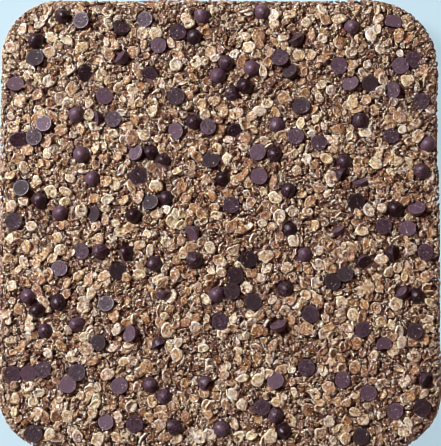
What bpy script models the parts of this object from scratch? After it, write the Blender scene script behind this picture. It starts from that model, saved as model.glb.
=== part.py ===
"""An uncut slab of chewy granola bars, pressed in a nine-inch square pan and lifted out whole.

Metres, +Z up. The origin is the middle of the flat base, with X across the slab and Y along its
slightly longer side. The slab is one piece of food, so it is one closed solid: a flat base, walls
that lean out a little as the pan's do, and a lumpy top whose edge was rounded by the pressing.
"""

import math

import bmesh
import bpy
from mathutils import Vector, noise
from mathutils.geometry import delaunay_2d_cdt

MM = 0.001

# Driving dimensions
WIDTH = 222.0 * MM  # along X, at the wall's widest height
DEPTH = 227.5 * MM  # along Y, at the wall's widest height
THICKNESS = 18.0 * MM  # mean height of the pressed top
CORNER_RADII = (34.0 * MM, 30.0 * MM, 31.0 * MM, 30.0 * MM)  # at +X+Y, -X+Y, -X-Y, +X-Y
TOP_ROUNDING = 3.6 * MM  # edge between the top and the wall
BASE_ROUNDING = 1.6 * MM  # edge between the wall and the base, from the pan's own corner
WALL_LEAN = math.radians(3.0)  # how far the wall leans out towards the top

# How uneven it is: height of the lumps, then the distance from one lump to the next
OUTLINE_WAVE = (0.55 * MM, 34.0 * MM)
OUTLINE_LUMPS = (0.50 * MM, 9.0 * MM)
TOP_SWELL = (0.75 * MM, 70.0 * MM)
TOP_LUMPS = (0.90 * MM, 12.0 * MM)

# Mesh spacing
OUTLINE_STEP = 4.6 * MM
TOP_STEP = 6.0 * MM
ROUNDING_RINGS = 4
WALL_RINGS = 2

OATS_COLOUR = (0.36, 0.19, 0.09, 1.0)
OATS_ROUGHNESS = 0.6


def clear_scene():
    """Removes whatever the open file holds."""
    for old in list(bpy.data.objects):
        bpy.data.objects.remove(old)


def unevenness(point, size, seed):
    """Height of smooth lumps of one size (height, spacing) at a point; the seed picks the pattern."""
    height, spacing = size
    return height * noise.noise(point / spacing + Vector((0.0, 0.0, seed)))


def outline():
    """Points round the slab at its widest, each with its outward direction, anticlockwise from +X+Y."""
    corners = []
    for quarter, radius in enumerate(CORNER_RADII):
        side_x = 1 if quarter in (0, 3) else -1
        side_y = 1 if quarter in (0, 1) else -1
        centre = Vector((side_x * (WIDTH / 2 - radius), side_y * (DEPTH / 2 - radius), 0.0))
        steps = round(radius * math.pi / 2 / OUTLINE_STEP)
        for i in range(steps + 1):
            angle = math.pi / 2 * (quarter + i / steps)
            outward = Vector((math.cos(angle), math.sin(angle), 0.0))
            corners.append((centre + radius * outward, outward))
    points = []
    for (start, outward), (end, _) in zip(corners, corners[1:] + corners[:1]):
        points.append((start, outward))
        steps = round((end - start).length / OUTLINE_STEP)
        for i in range(1, steps):
            points.append((start.lerp(end, i / steps), outward))
    return points


def top_height(point):
    """Height of the pressed top above the base."""
    flat = Vector((point.x, point.y, 0.0))
    return THICKNESS + unevenness(flat, TOP_SWELL, 1.3) + unevenness(flat, TOP_LUMPS, 5.7)


def wall_profile():
    """The wall from the base up, as (inset from the widest outline, share of lumps, height, share of top).

    A height is measured from the base where the share of top is 0, and from the local top where it is 1.
    """
    lean = math.tan(WALL_LEAN)
    straight = THICKNESS - TOP_ROUNDING - BASE_ROUNDING
    profile = []
    for i in range(ROUNDING_RINGS):
        angle = math.pi / 2 * i / ROUNDING_RINGS
        inset = lean * straight + BASE_ROUNDING * (1 - math.sin(angle))
        profile.append((inset, i / ROUNDING_RINGS, BASE_ROUNDING * (1 - math.cos(angle)), 0.0))
    for i in range(WALL_RINGS + 1):
        up = i / WALL_RINGS
        profile.append((lean * straight * (1 - up), 1.0, BASE_ROUNDING + straight * up, 0.0))
    for i in range(1, ROUNDING_RINGS + 1):
        angle = math.pi / 2 * i / ROUNDING_RINGS
        inset = TOP_ROUNDING * (1 - math.cos(angle))
        profile.append((inset, 1.0, TOP_ROUNDING * (math.sin(angle) - 1), i / ROUNDING_RINGS))
    return profile


def wall_ring(points, step):
    """One closed ring of the wall at one step of its profile."""
    inset, lumps, height, top_share = step
    ring = []
    for base, outward in points:
        wave = unevenness(base, OUTLINE_WAVE, 2.1)
        rise = Vector((0.0, 0.0, height))
        lump = lumps * unevenness(base + rise, OUTLINE_LUMPS, 8.4)
        place = base + (wave + lump - inset) * outward
        if top_share:
            mean_top = THICKNESS * (1 - top_share) + top_height(place) * top_share
            place.z = mean_top + height
        else:
            place.z = height
        ring.append(place)
    return ring


def inner_lattice(ring):
    """Staggered points inside the top's outer ring, clear of it, for the top's facets."""
    half_x = max(abs(p.x) for p in ring)
    half_y = max(abs(p.y) for p in ring)
    row_step = TOP_STEP * math.sqrt(3) / 2
    rows = int(half_y / row_step)
    columns = int(half_x / TOP_STEP) + 1
    clearance = TOP_STEP * 0.6
    points = []
    for row in range(-rows, rows + 1):
        shift = TOP_STEP / 2 if row % 2 else 0.0
        for column in range(-columns, columns + 1):
            point = Vector((column * TOP_STEP + shift, row * row_step, 0.0))
            if inside(point, ring, clearance):
                point.z = top_height(point)
                points.append(point)
    return points


def inside(point, ring, clearance):
    """True where a point is inside a ring that bulges out all round, and that far from it or more."""
    for start, end in zip(ring, ring[1:] + ring[:1]):
        along = Vector((end.x - start.x, end.y - start.y))
        across = Vector((point.x - start.x, point.y - start.y))
        if along.cross(across) < clearance * along.length:
            return False
    return True


def fill(mesh, ring, extra, upward):
    """Closes a ring with triangles through extra points inside it."""
    places = [v.co for v in ring] + extra
    flat = [p.to_2d() for p in places]
    edges = [(i, (i + 1) % len(ring)) for i in range(len(ring))]
    triangles = delaunay_2d_cdt(flat, edges, [], 1, MM * 1e-3)[2]
    corners = ring + [mesh.verts.new(p) for p in extra]
    for triangle in triangles:
        turn = triangle if upward else triangle[::-1]
        mesh.faces.new([corners[i] for i in turn])


def centred(mesh):
    """Puts the middle of the slab's box over the origin, with its lowest point at the base."""
    low = Vector([min(v.co[axis] for v in mesh.verts) for axis in range(3)])
    high = Vector([max(v.co[axis] for v in mesh.verts) for axis in range(3)])
    middle = (low + high) / 2
    bmesh.ops.translate(mesh, vec=(-middle.x, -middle.y, -low.z), verts=mesh.verts)


def oats_material():
    """Toasted oats bound with syrup."""
    material = bpy.data.materials.new("toasted_oats")
    material.use_nodes = True
    shader = material.node_tree.nodes["Principled BSDF"]
    shader.inputs["Base Color"].default_value = OATS_COLOUR
    shader.inputs["Roughness"].default_value = OATS_ROUGHNESS
    shader.inputs["Metallic"].default_value = 0.0
    return material


def granola_slab():
    """The whole slab, as one closed mesh object."""
    mesh = bmesh.new()
    points = outline()
    rings = []
    for step in wall_profile():
        rings.append([mesh.verts.new(p) for p in wall_ring(points, step)])
    for lower, upper in zip(rings, rings[1:]):
        for i in range(len(points)):
            j = (i + 1) % len(points)
            mesh.faces.new((lower[i], lower[j], upper[j], upper[i]))
    fill(mesh, rings[0], [], upward=False)
    fill(mesh, rings[-1], inner_lattice([v.co for v in rings[-1]]), upward=True)
    bmesh.ops.triangulate(mesh, faces=mesh.faces)
    centred(mesh)
    data = bpy.data.meshes.new("granola_slab")
    mesh.to_mesh(data)
    mesh.free()
    data.shade_smooth()
    data.set_sharp_from_angle(angle=math.radians(50))
    data.materials.append(oats_material())
    slab = bpy.data.objects.new("granola_slab", data)
    bpy.context.scene.collection.objects.link(slab)
    return slab


def main():
    """Builds the part."""
    clear_scene()
    granola_slab()


main()
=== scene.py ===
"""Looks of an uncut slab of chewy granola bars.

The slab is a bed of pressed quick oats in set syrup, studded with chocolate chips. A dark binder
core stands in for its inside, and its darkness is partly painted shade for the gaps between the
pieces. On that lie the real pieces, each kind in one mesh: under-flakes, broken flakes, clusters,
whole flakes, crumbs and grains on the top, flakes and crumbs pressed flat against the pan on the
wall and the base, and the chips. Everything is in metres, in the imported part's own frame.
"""

from __future__ import annotations

import logging
import math
from abc import ABC, abstractmethod
from collections.abc import Iterable, Mapping
from dataclasses import dataclass, field
from enum import Enum
from typing import Any, Union

import bpy
import numpy as np
from mathutils import Matrix, Vector
from mathutils.bvhtree import BVHTree


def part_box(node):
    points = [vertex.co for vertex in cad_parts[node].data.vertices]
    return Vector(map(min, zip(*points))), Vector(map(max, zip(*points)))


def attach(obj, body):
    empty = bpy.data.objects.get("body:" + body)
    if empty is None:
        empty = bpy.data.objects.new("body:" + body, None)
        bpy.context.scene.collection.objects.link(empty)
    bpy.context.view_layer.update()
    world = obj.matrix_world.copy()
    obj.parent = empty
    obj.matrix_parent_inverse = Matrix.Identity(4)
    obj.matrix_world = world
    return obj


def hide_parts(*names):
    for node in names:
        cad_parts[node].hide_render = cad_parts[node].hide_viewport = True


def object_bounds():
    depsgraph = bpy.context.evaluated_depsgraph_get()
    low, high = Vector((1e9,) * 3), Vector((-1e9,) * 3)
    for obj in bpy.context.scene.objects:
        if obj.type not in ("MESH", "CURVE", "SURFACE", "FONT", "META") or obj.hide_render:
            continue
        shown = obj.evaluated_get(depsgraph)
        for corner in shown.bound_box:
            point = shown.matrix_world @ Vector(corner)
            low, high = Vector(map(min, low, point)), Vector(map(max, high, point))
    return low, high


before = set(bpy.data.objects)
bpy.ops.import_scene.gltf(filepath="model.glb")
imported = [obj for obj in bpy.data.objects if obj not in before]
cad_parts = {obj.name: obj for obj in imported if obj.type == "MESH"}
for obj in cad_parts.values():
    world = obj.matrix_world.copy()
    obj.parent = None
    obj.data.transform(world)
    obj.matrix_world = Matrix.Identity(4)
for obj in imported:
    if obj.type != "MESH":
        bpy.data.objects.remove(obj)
cad_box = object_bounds()

log = logging.getLogger("granola_slab")

MM = 0.001
BODY = "root"
SLAB = "granola_slab"
BAKE_MAP = "OFBake"  # the UV map in which every piece has a cell of its own
SLIVER = 1e-6  # a width that stands for none

Operand = Union["Field", float, int, tuple, str]
Colour = tuple[float, float, float]


# ---------------------------------------------------------------------------------------------
# Node trees
# ---------------------------------------------------------------------------------------------


@dataclass(frozen=True)
class Field:
    """One output of a node, which arithmetic turns into further nodes."""

    graph: "Graph"
    socket: bpy.types.NodeSocket

    @property
    def is_vector(self) -> bool:
        """True where the output is a vector, a colour or a point."""
        return self.socket.type in ("VECTOR", "RGBA")

    def __add__(self, other: Operand) -> "Field":
        """Sum with another field or number."""
        return self.graph.combine("ADD", self, other)

    def __sub__(self, other: Operand) -> "Field":
        """Difference from another field or number."""
        return self.graph.combine("SUBTRACT", self, other)

    def __rsub__(self, other: Operand) -> "Field":
        """A number less this field."""
        return self.graph.combine("SUBTRACT", other, self)

    def __mul__(self, other: Operand) -> "Field":
        """Product with another field or number."""
        return self.graph.combine("MULTIPLY", self, other)

    def __truediv__(self, other: Operand) -> "Field":
        """Quotient by another field or number."""
        return self.graph.combine("DIVIDE", self, other)

    def dot(self, other: "Field") -> "Field":
        """Dot product of two vectors."""
        return self.graph.node("ShaderNodeVectorMath", self, other, operation="DOT_PRODUCT", out="Value")

    def parts(self) -> tuple["Field", "Field", "Field"]:
        """The X, Y and Z of a vector."""
        split = self.graph.raw("ShaderNodeSeparateXYZ", self)
        return tuple(Field(self.graph, socket) for socket in split.outputs)


@dataclass
class Graph:
    """A geometry or shader tree under construction."""

    tree: bpy.types.NodeTree

    @classmethod
    def geometry(cls, name: str) -> "Graph":
        """Starts a geometry tree with one geometry output.

        Args:
            name: Its name.

        Returns:
            The tree.
        """
        tree = bpy.data.node_groups.new(name, "GeometryNodeTree")
        tree.is_modifier = True
        tree.interface.new_socket("Geometry", in_out="OUTPUT", socket_type="NodeSocketGeometry")
        return cls(tree)

    @classmethod
    def shader_group(cls, name: str) -> "Graph":
        """A new shader group with no sockets yet."""
        return cls(bpy.data.node_groups.new(name, "ShaderNodeTree"))

    def entry(self, name: str, kind: str, default: Any = None) -> Field:
        """Adds a named input to the tree.

        Args:
            name: The input's name.
            kind: Its socket type, such as NodeSocketFloat.
            default: Its value where none is given.

        Returns:
            The input, as a field.
        """
        item = self.tree.interface.new_socket(name, in_out="INPUT", socket_type=kind)
        if default is not None:
            item.default_value = default
        start = self.tree.nodes.get("Start") or self.tree.nodes.new("NodeGroupInput")
        start.name = "Start"
        return Field(self, start.outputs[name])

    def numbers(self, **defaults: float) -> list[Field]:
        """Adds a number input for each name, whose underscores become spaces, with its default."""
        return [self.entry(name.replace("_", " "), "NodeSocketFloat", value)
                for name, value in defaults.items()]

    def exit(self, value: Field, name: str, kind: str = "NodeSocketFloat") -> None:
        """Adds a named output to the tree.

        Args:
            value: The field that feeds it.
            name: The output's name.
            kind: Its socket type.
        """
        if name not in [item.name for item in self.tree.interface.items_tree if item.in_out == "OUTPUT"]:
            self.tree.interface.new_socket(name, in_out="OUTPUT", socket_type=kind)
        end = self.tree.nodes.get("End") or self.tree.nodes.new("NodeGroupOutput")
        end.name = "End"
        self.tree.links.new(value.socket, end.inputs[name])

    def put(self, value: Operand, socket: bpy.types.NodeSocket) -> None:
        """Feeds a socket.

        Args:
            value: A field, which is linked, or a plain value.
            socket: The socket.
        """
        if isinstance(value, Field):
            self.tree.links.new(value.socket, socket)
        else:
            socket.default_value = value

    def raw(self, kind: str, *values: Operand | None, named: Mapping[str, Operand] | None = None,
            **settings: Any) -> bpy.types.Node:
        """Adds a node.

        Args:
            kind: The node's type.
            values: What its inputs take, in order; None leaves one as it is.
            named: What further inputs take, by name.
            settings: Values for the node's own properties.

        Returns:
            The node.
        """
        node = self.tree.nodes.new(kind)
        for key, value in settings.items():
            setattr(node, key, value)
        sockets = [s for s in node.inputs if s.enabled]
        pairs = [(sockets[i], v) for i, v in enumerate(values) if v is not None]
        pairs += [(next(s for s in sockets if s.name == n), v) for n, v in (named or {}).items()]
        for socket, value in pairs:
            self.put(value, socket)
        return node

    def node(self, kind: str, *values: Operand | None, out: str | int = 0,
             named: Mapping[str, Operand] | None = None, **settings: Any) -> Field:
        """Adds a node and takes one of its outputs.

        Args:
            kind: The node's type.
            values: What its inputs take, in order; None leaves one as it is.
            out: The output's name, or its place.
            named: What further inputs take, by name.
            settings: Values for the node's own properties.

        Returns:
            The output.
        """
        node = self.raw(kind, *values, named=named, **settings)
        outputs = [s for s in node.outputs if s.enabled]
        socket = outputs[out] if isinstance(out, int) else next(s for s in outputs if s.name == out)
        return Field(self, socket)

    def combine(self, operation: str, first: Operand, second: Operand) -> Field:
        """Arithmetic on numbers or on vectors, whichever the two operands are.

        Args:
            operation: The Math node's name for it.
            first: The first operand.
            second: The second operand.

        Returns:
            The result.
        """
        vectors = [isinstance(v, tuple) or (isinstance(v, Field) and v.is_vector) for v in (first, second)]
        if operation == "MULTIPLY" and vectors == [True, False]:
            return self.node("ShaderNodeVectorMath", first, operation="SCALE", named={"Scale": second})
        if any(vectors):
            return self.node("ShaderNodeVectorMath", first, second, operation=operation)
        return self.node("ShaderNodeMath", first, second, operation=operation)

    def math(self, operation: str, *values: Operand) -> Field:
        """One Math node."""
        return self.node("ShaderNodeMath", *values, operation=operation)

    def vector(self, x: Operand, y: Operand, z: Operand) -> Field:
        """A vector from three numbers."""
        return self.node("ShaderNodeCombineXYZ", x, y, z)

    def direction(self, x: Field, y: Field) -> Field:
        """The level direction from the middle to a place."""
        return self.node("ShaderNodeVectorMath", self.vector(x, y, 0.0), operation="NORMALIZE")

    def smooth(self, value: Field, start: Operand, end: Operand, low: Operand = 0.0,
               high: Operand = 1.0) -> Field:
        """Runs smoothly from low to high as a value goes from start to end."""
        return self.node("ShaderNodeMapRange", value, start, end, low, high,
                         interpolation_type="SMOOTHSTEP", clamp=True)

    def noise(self, place: Field, scale: Operand, seed: Operand = 0.0, detail: float = 2.0,
              roughness: float = 0.5) -> Field:
        """Adds fractal noise.

        Args:
            place: Where it is read.
            scale: How many lumps it has to the metre.
            seed: Picks its pattern.
            detail: How many finer sizes of lump are added.
            roughness: How strong each finer size is.

        Returns:
            The noise, from 0 to 1.
        """
        return self.node("ShaderNodeTexNoise", noise_dimensions="4D", normalize=True,
                         named={"Vector": place, "W": seed, "Scale": scale, "Detail": detail,
                                "Roughness": roughness})

    def swing(self, place: Field, scale: Operand, seed: Operand, **shape: float) -> Field:
        """The same noise, from -1 to 1."""
        return (self.noise(place, scale, seed, **shape) - 0.5) * 2.0

    def read_attribute(self, name: str, kind: str = "FLOAT") -> Field:
        """A named attribute of the geometry, in a geometry tree."""
        return self.node("GeometryNodeInputNamedAttribute", name, data_type=kind)

    def read_vector(self, name: str) -> Field:
        """A named vector attribute of the geometry, in a geometry tree."""
        return self.read_attribute(name, "FLOAT_VECTOR")

    def stored(self, geometry: Field, name: str, value: Field, kind: str = "FLOAT",
               domain: str = "POINT") -> Field:
        """The geometry with one more named attribute."""
        return self.node("GeometryNodeStoreNamedAttribute", geometry, data_type=kind, domain=domain,
                         named={"Name": name, "Value": value})

    def surface_values(self, *names: str) -> list[Field]:
        """Numbers that the pieces store on their surface, in a shader tree."""
        return [self.node("ShaderNodeAttribute", attribute_name=name, out="Fac") for name in names]

    def mixed_colour(self, share: Operand, first: Operand, second: Operand, way: str = "MIX") -> Field:
        """Mixes two colours.

        Args:
            share: How much of the second colour there is, from 0 to 1.
            first: The first colour.
            second: The second colour.
            way: The Mix node's name for how the second is laid on the first.

        Returns:
            The mixed colour.
        """
        first, second = (c if isinstance(c, Field) else (*c, 1.0) for c in (first, second))
        return self.node("ShaderNodeMix", data_type="RGBA", blend_type=way, out="Result",
                         named={"Factor": share, "A": first, "B": second})

    def colour_ramp(self, value: Field, stops: Iterable[tuple[float, Colour]]) -> Field:
        """Makes a colour follow a value.

        Args:
            value: The value.
            stops: Values and their colours: the two ends, then those between.

        Returns:
            The colour.
        """
        node = self.raw("ShaderNodeValToRGB", value)
        ramp = node.color_ramp
        for index, (place, colour) in enumerate(stops):
            stop = ramp.elements[index] if index < 2 else ramp.elements.new(place)
            stop.position = place
            stop.color = (*colour, 1.0)
        return Field(self, node.outputs["Color"])

    def group_output(self, tree: bpy.types.NodeTree, out: str, **inputs: Operand) -> Field:
        """Places a shared group.

        Args:
            tree: The group.
            out: The name of the output to take.
            inputs: What its inputs take; a name has underscores for its spaces.

        Returns:
            The output.
        """
        node = self.tree.nodes.new("ShaderNodeGroup")
        node.node_tree = tree
        for name, value in inputs.items():
            self.put(value, node.inputs[name.replace("_", " ")])
        return Field(self, node.outputs[out])

    def bump(self, height: Field, distance: float, strength: float = 1.0) -> Field:
        """A normal that follows a height, whose full range stands for that distance."""
        return self.node("ShaderNodeBump", named={
            "Strength": strength, "Distance": distance, "Height": height})

    def feed(self, shader: bpy.types.Node, inputs: Mapping[str, Operand]) -> None:
        """Gives a shader's inputs, by name, fields or plain values."""
        for name, value in inputs.items():
            self.put(value, shader.inputs[name])

    def profile_curve(self, value: Field, points: Iterable[tuple[float, float]]) -> Field:
        """Makes a height follow a value through a smooth profile.

        Args:
            value: The value.
            points: Values and their heights: the two ends, then those between.

        Returns:
            The height.
        """
        node = self.raw("ShaderNodeFloatCurve", named={"Value": value})
        curve = node.mapping.curves[0]
        for index, (place, height) in enumerate(points):
            point = curve.points[index] if index < 2 else curve.points.new(place, height)
            point.location = (place, height)
        node.mapping.update()
        return Field(self, node.outputs[0])

    def hand_over(self, geometry: Field) -> None:
        """Ends a tree: realizes its geometry and gives it the material that the tree takes.

        Args:
            geometry: The finished geometry.
        """
        whole = self.node("GeometryNodeRealizeInstances", geometry)
        material = self.entry("Material", "NodeSocketMaterial")
        self.exit(self.node("GeometryNodeSetMaterial", whole, named={"Material": material}),
                  "Geometry", "NodeSocketGeometry")


def grown(carrier: bpy.types.Object, tree: bpy.types.NodeTree, inputs: Mapping[str, Any],
          name: str) -> bpy.types.Object:
    """Runs a geometry tree on a carrier object and keeps the result as a plain mesh.

    Args:
        carrier: The object that feeds the tree, which is removed afterwards.
        tree: The geometry tree.
        inputs: Values for the tree's named inputs.
        name: The finished piece's name.

    Returns:
        The piece, at the origin and with no modifier.
    """
    modifier = carrier.modifiers.new(tree.name, "NODES")
    modifier.node_group = tree
    for item in tree.interface.items_tree:
        if item.in_out == "INPUT" and item.name in inputs:
            modifier[item.identifier] = inputs[item.name]
    graph = bpy.context.evaluated_depsgraph_get()
    mesh = bpy.data.meshes.new_from_object(
        carrier.evaluated_get(graph), preserve_all_data_layers=True, depsgraph=graph
    )
    old = carrier.data
    bpy.data.objects.remove(carrier)
    bpy.data.meshes.remove(old)
    mesh.name = name
    piece = bpy.data.objects.new(name, mesh)
    bpy.context.scene.collection.objects.link(piece)
    return piece


def dressed(piece: bpy.types.Object) -> bpy.types.Object:
    """Makes a finished piece ride on the slab's body and stand for its solid, and logs its triangles.

    Args:
        piece: The piece.

    Returns:
        The piece.
    """
    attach(piece, BODY)
    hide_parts(SLAB)
    piece.data.calc_loop_triangles()
    log.info("%s: %d triangles", piece.name, len(piece.data.loop_triangles))
    return piece


# ---------------------------------------------------------------------------------------------
# Finishes
# ---------------------------------------------------------------------------------------------


def mottle_group() -> bpy.types.NodeTree:
    """Shader group: blotches with soft edges.

    Returns:
        The group, whose Mask runs from 0 to 1.
    """
    graph = Graph.shader_group("mottle")
    scale, seed, cover, softness = graph.numbers(Scale=1000.0, Seed=0.0, Cover=0.5, Softness=0.15)
    place = graph.node("ShaderNodeTexCoord", out="Object")
    noise = graph.noise(place, scale, seed, detail=3.0, roughness=0.6)
    edge = 1.0 - cover
    graph.exit(graph.smooth(noise, edge - softness, edge + softness), "Mask")
    return graph.tree


def crevice_group() -> bpy.types.NodeTree:
    """Shader group: painted shade, which multiplies a colour by a dark tint the deeper a point lies under
    the pressed surface.

    Returns:
        The group.
    """
    graph = Graph.shader_group("crevice")
    colour, syrup_and_shade = (graph.entry(name, "NodeSocketColor") for name in ("Color", "Syrup"))
    start, end = graph.numbers(Start=0.0, End=2.0 * MM)
    [depth] = graph.surface_values("depth")
    darkened = graph.mixed_colour(graph.smooth(depth, start, end), colour, syrup_and_shade, "MULTIPLY")
    graph.exit(darkened, "Color", "NodeSocketColor")
    return graph.tree


def grain_group() -> bpy.types.NodeTree:
    """Shader group: relief of two sizes of grain.

    Returns:
        The group, whose Height runs from 0 to 1.
    """
    graph = Graph.shader_group("grain")
    coarse, fine, share = graph.numbers(Coarse_Scale=900.0, Fine_Scale=3000.0, Fine_Share=0.4)
    place = graph.node("ShaderNodeTexCoord", out="Object")
    lumps = graph.noise(place, coarse, 3.0)
    grains = graph.noise(place, fine, 7.0)
    graph.exit(lumps * (1.0 - share) + grains * share, "Height")
    return graph.tree


NODULE_SIDE = (0.25, 0.58)  # how far from its middle a nodule's side begins and ends, in nodules
NODULE_WANDER = 900.0  # how many wiggles its outline has to the metre


def nodule_group() -> bpy.types.NodeTree:
    """Shader group: packed grains, each with its own lightness and a height that falls to its cracks.

    Returns:
        The group.
    """
    graph = Graph.shader_group("nodules")
    scale, uneven = graph.numbers(Scale=650.0, Unevenness=0.8 * MM)
    place = graph.node("ShaderNodeTexCoord", out="Object")
    wander = graph.node("ShaderNodeTexNoise", out="Color", named={
        "Vector": place, "Scale": NODULE_WANDER, "Detail": 1.0}) - graph.vector(0.5, 0.5, 0.5)
    cells = graph.raw("ShaderNodeTexVoronoi", named={"Vector": place + wander * uneven, "Scale": scale})
    height = graph.smooth(Field(graph, cells.outputs["Distance"]), *NODULE_SIDE, 1.0, 0.0)
    lightness, _, _ = Field(graph, cells.outputs["Color"]).parts()
    graph.exit(height, "Height")
    graph.exit(lightness, "Lightness")
    return graph.tree


@dataclass
class Effects:
    """The shader groups that several finishes share."""

    mottle: bpy.types.NodeTree = field(default_factory=mottle_group)
    crevice: bpy.types.NodeTree = field(default_factory=crevice_group)
    grain: bpy.types.NodeTree = field(default_factory=grain_group)
    nodules: bpy.types.NodeTree = field(default_factory=nodule_group)


@dataclass(frozen=True)
class Mottle:
    """Blobs of one size in a finish."""

    scale: float  # how many to the metre
    seed: float  # picks their pattern
    cover: float  # share of the surface in them
    softness: float  # how wide their edges are

    def mask(self, graph: Graph, effects: Effects) -> Field:
        """Places them in a finish, as 1 inside them and 0 outside."""
        return graph.group_output(effects.mottle, "Mask", Scale=self.scale, Seed=self.seed,
                                  Cover=self.cover, Softness=self.softness)


@dataclass(frozen=True)
class Grain:
    """Relief of two sizes of grain in a finish."""

    coarse: float  # how many to the metre
    fine: float
    fine_share: float

    def height(self, graph: Graph, effects: Effects) -> Field:
        """Places it in a finish, as a height from 0 to 1."""
        return graph.group_output(effects.grain, "Height", Coarse_Scale=self.coarse,
                                  Fine_Scale=self.fine, Fine_Share=self.fine_share)


@dataclass(frozen=True)
class Rise:
    """A strength that rises evenly with some value, or falls with it."""

    start: float  # where the value is 0
    gain: float  # how much it adds as the value goes from 0 to 1

    def at(self, value: Field) -> Field:
        """The strength for a value."""
        return value * self.gain + self.start


@dataclass(frozen=True)
class Band:
    """A stretch of some value over which an effect comes in."""

    start: float
    end: float

    def over(self, graph: Graph, value: Field) -> Field:
        """The effect, smoothly from 0 before the stretch to 1 past it."""
        return graph.smooth(value, self.start, self.end)


def new_material(name: str) -> tuple[bpy.types.Material, Graph, bpy.types.Node]:
    """Starts a node material.

    Args:
        name: Its name.

    Returns:
        The material, its graph and its Principled shader.
    """
    material = bpy.data.materials.new(name)
    material.use_nodes = True
    return material, Graph(material.node_tree), material.node_tree.nodes["Principled BSDF"]


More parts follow.
